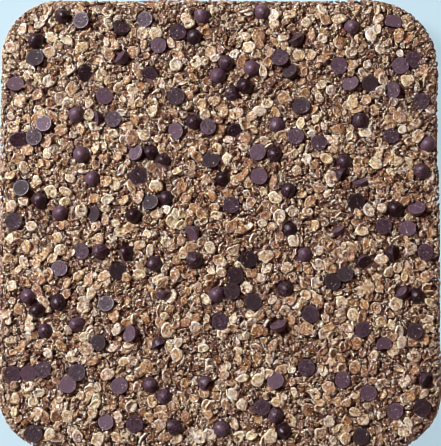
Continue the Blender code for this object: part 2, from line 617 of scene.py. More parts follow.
@dataclass(frozen=True)
class OatFinish:
    """Toasted oats under a thin glaze of syrup: rough and crumbly, with pale worn rims, painted shade and
    some painted glints.
    """

    name: str = "toasted_oats"
    darkest: Colour = (0.160, 0.041, 0.023)
    brown: Colour = (0.345, 0.160, 0.084)
    tan: Colour = (0.585, 0.388, 0.232)
    cream: Colour = (0.890, 0.870, 0.730)
    heart: Colour = (0.400, 0.235, 0.108)
    # dark pits, and the painted shade in the cracks between nodules
    pit_and_crack_shade: Colour = (0.150, 0.052, 0.030)
    crumb_and_glint: Colour = (0.930, 0.910, 0.840)
    toasted: Colour = (0.520, 0.280, 0.150)
    syrup_and_shade: Colour = (0.340, 0.066, 0.044)  # painted shade: multiplies deep-lying points, for the shade and warm bounced light in the crevices
    ashen: Colour = (0.960, 0.965, 1.08)  # multiplies the oats at one end of their range
    golden: Colour = (1.045, 0.985, 0.68)  # and at the other
    roughness: tuple[float, float] = (0.34, 0.62)  # between the blotches, and in them
    specular: float = 0.2
    glaze: float = 1.8  # weight of the clear syrup coat where it is thickest
    glaze_roughness: float = 0.24
    bump_distance: float = 1.7 * MM
    blotches: Mottle = Mottle(430.0, 1.0, cover=0.5, softness=0.12)  # broad shifts of tone
    flecks: Mottle = Mottle(880.0, 5.0, cover=0.48, softness=0.03)  # worn spots and drops of glaze
    pits: Mottle = Mottle(900.0, 8.0, cover=0.43, softness=0.012)
    # pale crumb specks, which are partly painted glints of the glaze
    crumbs: Mottle = Mottle(940.0, 21.0, cover=0.41, softness=0.012)
    hues: Mottle = Mottle(460.0, 15.0, cover=0.5, softness=0.08)
    relief: Grain = Grain(680.0, 980.0, fine_share=0.5)
    nodules: float = 540.0  # how many to the metre
    nodule_unevenness: float = 0.8 * MM
    deep_shade: Band = Band(0.5 * MM, 2.4 * MM)  # depths over which the painted shade takes over
    # How strongly each shows, which rises with how crumbly the piece is
    # the cracks between nodules, sunk in the relief and darkened as painted shade
    cracks: Rise = Rise(0.06, gain=0.8)
    # painted shade that follows the grain's relief
    relief_shading: Rise = Rise(3.0, gain=3.0)
    lumpiness: Rise = Rise(0.2, gain=1.5)
    pitting: Rise = Rise(0.45, gain=0.45)
    crumb_glinting: Rise = Rise(0.4, gain=0.55)
    raising: Rise = Rise(0.5, gain=0.5)
    # How strongly each shows, which rises in the blotches, or in the flecks for the wear
    browning: Rise = Rise(0.20, gain=0.50)
    toasting: Rise = Rise(0.5, gain=0.5)
    wear: Rise = Rise(0.18, gain=0.5)
    # Where each comes in: how far out towards the rim, and how high in the relief
    past_germ: Band = Band(0.60, 0.92)
    worn_rim: Band = Band(0.78, 0.97)
    glazed: Band = Band(0.46, 0.60)
    blotching: float = 0.18  # how much paler the blotches are
    common_nodule: float = 0.42  # lightness of a nodule that is neither pale nor dark
    lift: float = 0.04  # how much paler all of it is
    tones: tuple[float, float, float, float] = (0.0, 0.36, 0.65, 0.90)  # of darkest, brown, tan, cream
    hue_share: float = 0.6  # how much of the warmth varies within a piece, and not between them
    crumb_height: float = 0.1
    crack_depth: float = 0.5

    def material(self, effects: Effects) -> bpy.types.Material:
        """Builds the material.

        Args:
            effects: The shared shader groups.

        Returns:
            The material, which reads the pieces' shade, tint, rim, toast, crumbliness and depth.
        """
        material, graph, shader = new_material(self.name)
        shade, tint, rim, toast, crumbly = graph.surface_values(
            "shade", "tint", "rim", "toast", "crumbly")
        blotch, fleck, pits, crumbs, hue = (
            mottle.mask(graph, effects)
            for mottle in (self.blotches, self.flecks, self.pits, self.crumbs, self.hues))
        relief = self.relief.height(graph, effects)
        nodule_height, nodule_lightness = (
            graph.group_output(effects.nodules, out, Scale=self.nodules,
                               Unevenness=self.nodule_unevenness)
            for out in ("Height", "Lightness"))
        # Crumbly pieces show their grain, nodules and cracks in full, and smooth flakes only faintly. The
        # tone follows the grain's relief as painted shade, darker in its hollows and paler on its tops, and
        # the cracks get painted shade too.
        crack = (1.0 - nodule_height) * self.cracks.at(crumbly)
        relief_shade = (relief - 0.5) * self.relief_shading.at(crumbly)
        lumpy = (nodule_lightness - self.common_nodule) * self.lumpiness.at(crumbly)
        tone = shade + (blotch - 0.5) * self.blotching + relief_shade + lumpy + self.lift
        darkest, brown, tan, cream = self.tones
        colour = graph.colour_ramp(tone, (
            (darkest, self.darkest), (cream, self.cream), (brown, self.brown), (tan, self.tan)))
        # The germ is browner, the worn rim paler, and both are broken up by blotches and flecks.
        inner = 1.0 - self.past_germ.over(graph, rim)
        for share, over in (
            (inner * self.browning.at(blotch), self.heart),
            (self.worn_rim.over(graph, rim) * self.wear.at(fleck), self.cream),
            # painted shade in the cracks between nodules
            (crack, self.pit_and_crack_shade),
            (pits * self.pitting.at(crumbly), self.pit_and_crack_shade),
            # pale crumbs, partly painted glints
            (crumbs * self.crumb_glinting.at(crumbly), self.crumb_and_glint),
            (toast * self.toasting.at(blotch), self.toasted),
        ):
            colour = graph.mixed_colour(share, colour, over)
        mix = tint * (1.0 - self.hue_share) + hue * self.hue_share
        warmth = graph.mixed_colour(mix, self.ashen, self.golden)
        colour = graph.mixed_colour(1.0, colour, warmth, "MULTIPLY")
        # Painted shade: the deeper a point lies under the pressed surface, the darker and redder it is.
        colour = graph.group_output(effects.crevice, "Color", Color=colour, Syrup=(*self.syrup_and_shade, 1.0),
                                    Start=self.deep_shade.start, End=self.deep_shade.end)
        height = relief * self.raising.at(crumbly) + crumbs * self.crumb_height
        height = height - crack * self.crack_depth
        graph.feed(shader, {
            "Base Color": colour,
            "Roughness": graph.smooth(blotch, 0.0, 1.0, *self.roughness),
            "Normal": graph.bump(height, self.bump_distance),
            "Coat Weight": fleck * self.glazed.over(graph, relief) * self.glaze,
            "Coat Roughness": self.glaze_roughness,
            "Specular IOR Level": self.specular,
        })
        return material


@dataclass(frozen=True)
class BinderFinish:
    """Set syrup and nut butter full of oat dust: dark, with paler and rougher grains, and its darkness is
    partly painted shade for the gaps.
    """

    name: str = "syrup_binder"
    # the binder's dark syrup, which is partly painted shade deep in the gaps
    syrup_and_shade: Colour = (0.060, 0.018, 0.012)
    dust: Colour = (0.250, 0.108, 0.058)
    roughness: tuple[float, float] = (0.60, 0.85)  # of the syrup, and of the dust
    bump_distance: float = 0.8 * MM
    bump_strength: float = 0.8
    grains: Mottle = Mottle(900.0, 2.0, cover=0.45, softness=0.12)
    relief: Grain = Grain(700.0, 1900.0, fine_share=0.35)
    dusting: Rise = Rise(0.6, gain=0.4)  # how dusty its grains are, which rises up the walls
    wall_dust: float = 0.5  # how much more dust the pan pressed onto the walls

    def material(self, effects: Effects) -> bpy.types.Material:
        """Builds the material.

        Args:
            effects: The shared shader groups.

        Returns:
            The material, which reads the core's steepness.
        """
        material, graph, shader = new_material(self.name)
        grains = self.grains.mask(graph, effects)
        [steep] = graph.surface_values("steep")
        dusty = grains * self.dusting.at(steep) + steep * self.wall_dust
        relief = self.relief.height(graph, effects)
        graph.feed(shader, {
            "Base Color": graph.mixed_colour(dusty, self.syrup_and_shade, self.dust),
            "Normal": graph.bump(relief, self.bump_distance, self.bump_strength),
            "Roughness": graph.smooth(grains, 0.0, 1.0, *self.roughness),
        })
        return material


@dataclass(frozen=True)
class ChocolateFinish:
    """Semi-sweet chocolate: satin on the dome, matt on the base, with fine pale specks all over and a faint
    painted highlight round the base's edge.
    """

    name: str = "chocolate"
    dark: Colour = (0.016, 0.003, 0.005)
    light: Colour = (0.108, 0.056, 0.077)
    bloom_and_highlight: Colour = (0.640, 0.520, 0.500)
    roughness: tuple[float, float] = (0.38, 0.66)  # of the dome, and of the base
    specular: float = 0.42
    bump_distance: float = 0.9 * MM
    bump_strength: float = 0.35
    clouds: Mottle = Mottle(420.0, 9.0, cover=0.5, softness=0.3)
    specks: Mottle = Mottle(900.0, 4.0, cover=0.35, softness=0.02)
    pores: Mottle = Mottle(1200.0, 12.0, cover=0.5, softness=0.06)
    relief: Grain = Grain(300.0, 1300.0, fine_share=0.6)
    # How much of its tone comes from each
    own_tone: float = 0.9
    cloud_tone: float = 0.3
    pore_tone: float = 0.35
    tones: Band = Band(0.08, 0.92)
    flat: Band = Band(0.80, 0.86)  # where its flat base begins, on the way from the tip
    edge: Band = Band(0.68, 0.74)  # and the edge round it
    scuffing: Rise = Rise(0.40, gain=0.55)  # how strong its specks are, which rises on the base
    # faint painted highlight round the base's edge
    edge_highlight: float = 0.07

    def material(self, effects: Effects) -> bpy.types.Material:
        """Builds the material.

        Args:
            effects: The shared shader groups.

        Returns:
            The material, which reads the chips' shade, and their rim, from 0 at the tip to 1 at the base.
        """
        material, graph, shader = new_material(self.name)
        shade, along = graph.surface_values("shade", "rim")
        cloud, speck, pore = (
            mottle.mask(graph, effects) for mottle in (self.clouds, self.specks, self.pores))
        tone = shade * self.own_tone + (cloud - 0.5) * self.cloud_tone + (pore - 0.5) * self.pore_tone
        colour = graph.mixed_colour(self.tones.over(graph, tone), self.dark, self.light)
        base = self.flat.over(graph, along)
        edge = self.edge.over(graph, along) * (1.0 - base)
        # Pale specks all over, and a faint painted highlight round the base's edge.
        specks_and_edge_highlight = speck * self.scuffing.at(base) + edge * cloud * self.edge_highlight
        relief = self.relief.height(graph, effects)
        graph.feed(shader, {
            "Base Color": graph.mixed_colour(specks_and_edge_highlight, colour, self.bloom_and_highlight),
            "Roughness": graph.smooth(base, 0.0, 1.0, *self.roughness),
            "Normal": graph.bump(relief, self.bump_distance, self.bump_strength),
            "Specular IOR Level": self.specular,
        })
        return material


@dataclass(frozen=True)
class Paint:
    """A plain painted surface with a trace of grain, for the floor."""

    name: str
    colour: Colour
    glow: Colour  # added where the camera sees the surface, which keeps its shadows pale
    bounce: Colour  # what it throws back onto the slab's walls
    roughness: float = 0.8
    specular: float = 0.1
    paling: float = 1.03  # how much paler its grain is
    grain_scale: float = 40.0

    def material(self) -> bpy.types.Material:
        """Builds the material.

        Returns:
            The material, which looks paler to the camera than it is to the light.
        """
        material, graph, shader = new_material(self.name)
        place = graph.node("ShaderNodeTexCoord", out="Object")
        grain = graph.noise(place, self.grain_scale, detail=3.0)
        paler = tuple(min(1.0, c * self.paling) for c in self.colour)
        direct = graph.node("ShaderNodeLightPath", out="Is Camera Ray")
        seen = graph.mixed_colour(grain, self.colour, paler)
        graph.feed(shader, {
            "Base Color": graph.mixed_colour(direct, self.bounce, seen),
            "Emission Color": (*self.glow, 1.0),
            "Emission Strength": direct,
            "Specular IOR Level": self.specular,
            "Roughness": self.roughness,
        })
        return material


# ---------------------------------------------------------------------------------------------
# The slab's faces, opened out flat
# ---------------------------------------------------------------------------------------------


@dataclass(frozen=True)
class Spot:
    """A place on a face: its point in space and the directions across, along and out of the face."""

    point: np.ndarray
    axes: np.ndarray  # columns: across, along, outward


def unit(way: np.ndarray) -> np.ndarray:
    """The same direction, with a length of 1."""
    return way / np.linalg.norm(way)


def square_axes(across: np.ndarray, outward: np.ndarray) -> np.ndarray:
    """The directions across, along and outward, as columns, from the first and the last."""
    return np.stack([across, np.cross(outward, across), outward], axis=1)


class Face(ABC):
    """One face of the slab opened out flat, with u across it and v along it."""

    low: tuple[float, float]
    high: tuple[float, float]
    wraps: bool = False  # whether u runs round and meets itself

    @abstractmethod
    def spot(self, u: float, v: float) -> Spot:
        """Where a place on the flat face is on the slab."""

    @abstractmethod
    def inset(self, u: np.ndarray, v: np.ndarray) -> np.ndarray:
        """How far some places are from the face's own edge, in metres."""


@dataclass
class Slab:
    """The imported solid, as a shape to measure: its box, its outline at mid height and its top."""

    node: bpy.types.Object
    outline_step: float = 1.0 * MM
    smoothing: float = 5.0 * MM  # length of wall over which its direction is averaged, each way
    level_step: float = 2.0 * MM
    rays: int = 1440  # cast at the wall from all round, to find the outline
    stride: int = 4  # a point is compared with every so many points of the outline
    batch: int = 20000  # points compared at a time, to spare memory

    def __post_init__(self) -> None:
        """Measures the solid once."""
        self.low, self.high = (np.array(corner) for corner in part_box(SLAB))
        vertices = [v.co for v in self.node.data.vertices]
        faces = [tuple(p.vertices) for p in self.node.data.polygons]
        self.surface = BVHTree.FromPolygons(vertices, faces)
        self._measure_outline()
        self._measure_top()

    def _measure_outline(self) -> None:
        """Walks round the wall at mid height, in even steps, with its outward direction."""
        middle = Vector((0.0, 0.0, (self.low[2] + self.high[2]) / 2))
        away = float(np.linalg.norm(self.high[:2])) * 2
        hits = []
        for angle in np.linspace(0.0, 2 * math.pi, self.rays, endpoint=False):
            way = Vector((math.cos(angle), math.sin(angle), 0.0))
            hits.append(self.surface.ray_cast(middle + way * away, -way)[0][:2])
        ring = np.array(hits + hits[:1])
        travelled = np.r_[0.0, np.cumsum(np.linalg.norm(np.diff(ring, axis=0), axis=1))]
        self.round = float(travelled[-1])
        count = round(self.round / self.outline_step)
        at = np.linspace(0.0, self.round, count, endpoint=False)
        self.outline = np.stack([np.interp(at, travelled, ring[:, i]) for i in range(2)], axis=1)
        reach = round(self.smoothing / self.outline_step)
        along = np.roll(self.outline, -reach, axis=0) - np.roll(self.outline, reach, axis=0)
        along /= np.linalg.norm(along, axis=1, keepdims=True)
        self.outward = np.stack([along[:, 1], -along[:, 0]], axis=1)

    def _measure_top(self) -> None:
        """Reads the height of the top on a grid."""
        counts = [int((self.high[i] - self.low[i]) / self.level_step) + 1 for i in range(2)]
        self.level = np.zeros(counts)
        for i, j in np.ndindex(*counts):
            x, y = self.low[0] + i * self.level_step, self.low[1] + j * self.level_step
            hit = self.surface.ray_cast(Vector((x, y, 1.0)), Vector((0.0, 0.0, -1.0)))[0]
            self.level[i, j] = hit.z if hit else 0.0

    def top_at(self, x: float, y: float) -> float:
        """Reads the height of the top.

        Args:
            x: Where, along X.
            y: Where, along Y.

        Returns:
            The height, evened out between the grid's points.
        """
        last = [count - 1.001 for count in self.level.shape]  # just short of the grid's last line
        i = min(max((x - self.low[0]) / self.level_step, 0.0), last[0])
        j = min(max((y - self.low[1]) / self.level_step, 0.0), last[1])
        a, b = int(i), int(j)
        s, t = i - a, j - b
        row = self.level[a, b:b + 2] * (1 - s) + self.level[a + 1, b:b + 2] * s
        return float(row[0] * (1 - t) + row[1] * t)

    def inset(self, x: np.ndarray, y: np.ndarray) -> np.ndarray:
        """Measures how far inside the outline some points are.

        Args:
            x: The points' X.
            y: The points' Y.

        Returns:
            The distances in, which are less than 0 outside.
        """
        points = np.stack([np.ravel(x), np.ravel(y)], axis=1)
        found = np.empty(len(points))
        for start in range(0, len(points), self.batch):
            part = points[start:start + self.batch]
            gaps = ((part[:, None, :] - self.outline[None, ::self.stride, :]) ** 2).sum(axis=2)
            near = gaps.argmin(axis=1) * self.stride
            deep = ((self.outline[near] - part) * self.outward[near]).sum(axis=1)
            found[start:start + self.batch] = deep
        return found.reshape(np.shape(x))


class TopFace(Face):
    """The pressed top, with u and v as X and Y."""

    def __init__(self, slab: Slab) -> None:
        """Takes its extents from the slab."""
        self.slab = slab
        self.low, self.high = tuple(slab.low[:2]), tuple(slab.high[:2])

    def spot(self, u: float, v: float) -> Spot:
        """Finds a place on the top.

        Args:
            u: The place's X.
            v: The place's Y.

        Returns:
            The spot on the slab, which faces out of the top's slope.
        """
        step = self.slab.level_step
        rise_u = (self.slab.top_at(u + step, v) - self.slab.top_at(u - step, v)) / (2 * step)
        rise_v = (self.slab.top_at(u, v + step) - self.slab.top_at(u, v - step)) / (2 * step)
        outward = unit(np.array([-rise_u, -rise_v, 1.0]))
        across = unit(np.array([1.0, 0.0, rise_u]))
        return Spot(np.array([u, v, self.slab.top_at(u, v)]), square_axes(across, outward))

    def inset(self, u: np.ndarray, v: np.ndarray) -> np.ndarray:
        """How far inside the slab's outline each place is."""
        return self.slab.inset(u, v)


class BaseFace(Face):
    """The flat base, seen from below: u is X and v is -Y."""

    def __init__(self, slab: Slab) -> None:
        """Takes its extents from the slab.

        Args:
            slab: The slab.
        """
        self.slab = slab
        self.low = (slab.low[0], -slab.high[1])
        self.high = (slab.high[0], -slab.low[1])

    def spot(self, u: float, v: float) -> Spot:
        """Where a place on the flat face is on the slab."""
        return Spot(np.array([u, -v, self.slab.low[2]]), np.diag([1.0, -1.0, -1.0]))

    def inset(self, u: np.ndarray, v: np.ndarray) -> np.ndarray:
        """How far inside the slab's outline each place is."""
        return self.slab.inset(u, -v)


@dataclass
class WallFace(Face):
    """The wall: u runs round the slab, and v up its profile, from the base to the top's flat."""

    slab: Slab
    base_rounding: float = 1.6 * MM
    top_rounding: float = 3.6 * MM
    lean: float = math.radians(3.0)
    below_peak: float = 0.7 * MM  # how far the wall's upper end lies under the slab's highest point
    wraps = True

    def __post_init__(self) -> None:
        """Works out the profile's three stretches."""
        self.height = float(self.slab.high[2] - self.slab.low[2]) - self.below_peak
        self.base_arc = math.pi / 2 * self.base_rounding
        self.straight = self.height - self.base_rounding - self.top_rounding
        self.top_arc = math.pi / 2 * self.top_rounding
        self.low = (0.0, 0.0)
        self.high = (self.slab.round, self.base_arc + self.straight + self.top_arc)

    def profile(self, v: float) -> tuple[float, float, float]:
        """Follows the wall's profile.

        Args:
            v: How far up the profile.

        Returns:
            The inset from the outline, the height, and the outward direction's angle above level.
        """
        middle = self.slab.high[2] / 2
        if v < self.base_arc:
            angle = -math.pi / 2 * (1 - v / self.base_arc)
            inset = self.base_rounding * (1 - math.cos(angle))
            height = self.base_rounding * (1 + math.sin(angle))
        elif v < self.base_arc + self.straight:
            angle = -self.lean
            inset = 0.0
            height = self.base_rounding + v - self.base_arc
        else:
            angle = math.pi / 2 * (v - self.base_arc - self.straight) / self.top_arc
            inset = self.top_rounding * (1 - math.cos(angle))
            height = self.height - self.top_rounding * (1 - math.sin(angle))
        inset += (middle - height) * math.tan(self.lean)
        return inset, height, angle

    def spot(self, u: float, v: float) -> Spot:
        """Finds a place on the wall.

        Args:
            u: How far round the slab.
            v: How far up the wall's profile.

        Returns:
            The spot on the slab, which faces out of the wall's profile.
        """
        at = u / self.slab.round * len(self.slab.outline)
        first, share = int(at) % len(self.slab.outline), at - int(at)
        second = (first + 1) % len(self.slab.outline)
        point = self.slab.outline[first] * (1 - share) + self.slab.outline[second] * share
        level = self.slab.outward[first] * (1 - share) + self.slab.outward[second] * share
        level = unit(level)
        inset, height, angle = self.profile(v)
        place = Vector((*(point - level * inset), height))
        near = self.slab.surface.find_nearest(place)[0]
        outward = np.array([*(level * math.cos(angle)), math.sin(angle)])
        across = np.array([-level[1], level[0], 0.0])
        return Spot(np.array(near), square_axes(across, outward))

    def inset(self, u: np.ndarray, v: np.ndarray) -> np.ndarray:
        """How far from the wall's upper end each place is."""
        return self.high[1] - v + 0.0 * u


# ---------------------------------------------------------------------------------------------
# Laying the pieces
# ---------------------------------------------------------------------------------------------


@dataclass(frozen=True)
class Spread:
    """A value that varies evenly between two limits."""

    low: float
    high: float

    def draw(self, rng: np.random.Generator) -> float:
        """One value."""
        return float(rng.uniform(self.low, self.high))


def mm(low: float, high: float) -> Spread:
    """A spread given in millimetres."""
    return Spread(low * MM, high * MM)


@dataclass(frozen=True)
class OatKind:
    """One kind of oat piece: its size, its shape and how it comes to lie."""

    name: str
    count: int
    length: Spread
    roundness: Spread  # width over length
    thickness: Spread
    segments: int
    rings: int
    shade: Spread
    tilts: tuple[tuple[float, float], ...]  # share of pieces, and how far those may tilt, in degrees
    choices: int = 5  # places tried, of which the lowest is taken
    follow: float = 0.7  # how far a piece leans with what it lies on
    rest: float = 72.0  # percentile of the surface below at which it comes to rest
    ceiling: float = 0.9 * MM  # how far over the pressed surface it may stand
    seat: float = 0.6  # where it rests, and where its crown counts, as shares of its half thickness
    crown: float = 0.5
    pressed: Spread | None = None  # where the pan cuts it flat
    edge_inset: Spread = Spread(0.0, 0.0)  # the band at the edge where it thins out
    patchy: float = 0.0  # how much its number varies from patch to patch
    snaps: Spread = Spread(0.8, 2.5)  # how far from its middle it is snapped off, on each of three sides
    bow: Spread = Spread(-0.12, 0.12)  # how far it curls along and across
    fold: Spread = Spread(0.05, 0.25)  # how far a folded one is folded
    folded: float = 0.2  # share that is folded
    outline: float = 0.45  # how uneven its outline is
    lobes: float = 1.3  # how many lumps that outline has
    lumps: float = 0.5  # how lumpy its surface is
    lump_scale: float = 1.7
    dish: float = 0.45  # how hollow its middle is
    sharp: float = 75.0  # edges over this angle, in degrees, are shaded as edges
    toast: Spread = Spread(0.0, 0.0)
    crumbly: float = 0.2  # how rough and speckled its surface is
    on_chips: float = 0.0  # share of it that may lie over a chip

    def inputs(self, material: bpy.types.Material) -> dict[str, Any]:
        """Lists what the oat tree takes to shape this kind.

        Args:
            material: The oats' material.

        Returns:
            Values for the tree's named inputs.
        """
        return {
            "Segments": self.segments, "Rings": self.rings, "Outline Unevenness": self.outline,
            "Outline Lobes": self.lobes, "Dish": self.dish, "Lumps": self.lumps,
            "Lump Scale": self.lump_scale, "Crumbliness": self.crumbly,
            "Sharp Angle": math.radians(self.sharp), "Material": material}


@dataclass
class Pieces:
    """Pieces that have been laid, ready for a geometry tree to shape."""

    middle: list[np.ndarray] = field(default_factory=list)
    turn: list[tuple] = field(default_factory=list)  # as a quaternion
    reach: list[tuple] = field(default_factory=list)  # half length, half width and half thickness
    outward: list[np.ndarray] = field(default_factory=list)  # the way out of the slab
    bend: list[tuple] = field(default_factory=list)
    snap: list[tuple] = field(default_factory=list)
    room: list[float] = field(default_factory=list)  # how far it may stand out past its middle
    sunk: list[float] = field(default_factory=list)  # how far its middle lies under the surface
    shade: list[float] = field(default_factory=list)
    toast: list[float] = field(default_factory=list)

    def add(self, spot: Spot, turn: np.ndarray, height: float, reach: tuple, **looks: Any) -> None:
        """Adds one piece.

        Args:
            spot: The place on the slab that it lies over.
            turn: Its axes in the face's own directions, as columns.
            height: How far its middle stands out of the slab's surface.
            reach: Its half length, half width and half thickness.
            looks: Its bend, snap, room, shade and toast.
        """
        outward = spot.axes[:, 2]
        self.middle.append(spot.point + outward * height)
        self.turn.append(tuple(Matrix((spot.axes @ turn).tolist()).to_quaternion()))
        self.reach.append(reach)
        self.outward.append(outward)
        self.sunk.append(-height)
        for name, value in looks.items():
            getattr(self, name).append(value)

    def carrier(self, name: str) -> bpy.types.Object:
        """Makes a mesh of loose points, one for each piece, which carries what the tree reads.

        Args:
            name: Its name.

        Returns:
            The mesh's object, with the size of each piece's cell in the UV map.
        """
        count = len(self.middle)
        mesh = bpy.data.meshes.new(name)
        mesh.vertices.add(count)
        mesh.vertices.foreach_set("co", np.array(self.middle, np.float32).ravel())
        rng = np.random.default_rng(len(name))  # a pattern of its own for each name's length
        columns = math.ceil(math.sqrt(count / 2))
        rows = math.ceil(count / columns)
        order = np.arange(count)
        corner = np.stack([order % columns / columns, order // columns / rows, np.zeros(count)], axis=1)
        vectors = {"middle": self.middle, "reach": self.reach, "outward": self.outward,
                   "bend": self.bend, "snap": self.snap, "cell": corner}
        numbers = {"room": self.room, "sunk": self.sunk, "shade": self.shade, "toast": self.toast,
                   "seed": rng.uniform(0.0, 1000.0, count)}
        for key, values in vectors.items():
            store(mesh, key, "FLOAT_VECTOR", "vector", values)
        for key, values in numbers.items():
            store(mesh, key, "FLOAT", "value", values)
        store(mesh, "turn", "QUATERNION", "value", self.turn)
        carrier = bpy.data.objects.new(name, mesh)
        carrier["cell_width"], carrier["cell_height"] = 1.0 / columns, 1.0 / rows
        bpy.context.scene.collection.objects.link(carrier)
        return carrier


def store(mesh: bpy.types.Mesh, name: str, kind: str, key: str, values: Iterable) -> None:
    """Writes one attribute on a mesh's points; key is the property that holds one value."""
    attribute = mesh.attributes.new(name, kind, "POINT")
    attribute.data.foreach_set(key, np.array(values, np.float32).ravel())


def smooth_field(shape: tuple[int, int], spacing: float, rng: np.random.Generator) -> np.ndarray:
    """Draws smooth random hills.

    Args:
        shape: How many cells the field has each way.
        spacing: About how many cells apart the hills are.
        rng: Draws them.

    Returns:
        Their heights, with a mean of 0 and a spread of 1.
    """
    waves = np.fft.rfft2(rng.standard_normal(shape))
    across = np.fft.fftfreq(shape[0])[:, None]
    along = np.fft.rfftfreq(shape[1])[None, :]
    waves *= np.exp(-(across ** 2 + along ** 2) * (math.pi * spacing) ** 2 / 4)
    hills = np.fft.irfft2(waves, s=shape)
    return (hills - hills.mean()) / hills.std()


def sample_pattern() -> np.ndarray:
    """Spreads points over a disc of radius 1: its middle and two rings.

    Returns:
        The points, one to a row.
    """
    rings = [(0.0, 1), (0.5, 6), (0.9, 12)]  # radius, and number of points
    return np.array([
        (radius * math.cos(2 * math.pi * i / count), radius * math.sin(2 * math.pi * i / count))
        for radius, count in rings for i in range(count)
    ])


PATTERN = sample_pattern()
PLANE_FIT = np.linalg.pinv(np.column_stack([PATTERN, np.ones(len(PATTERN))]))  # gives a plane's slopes


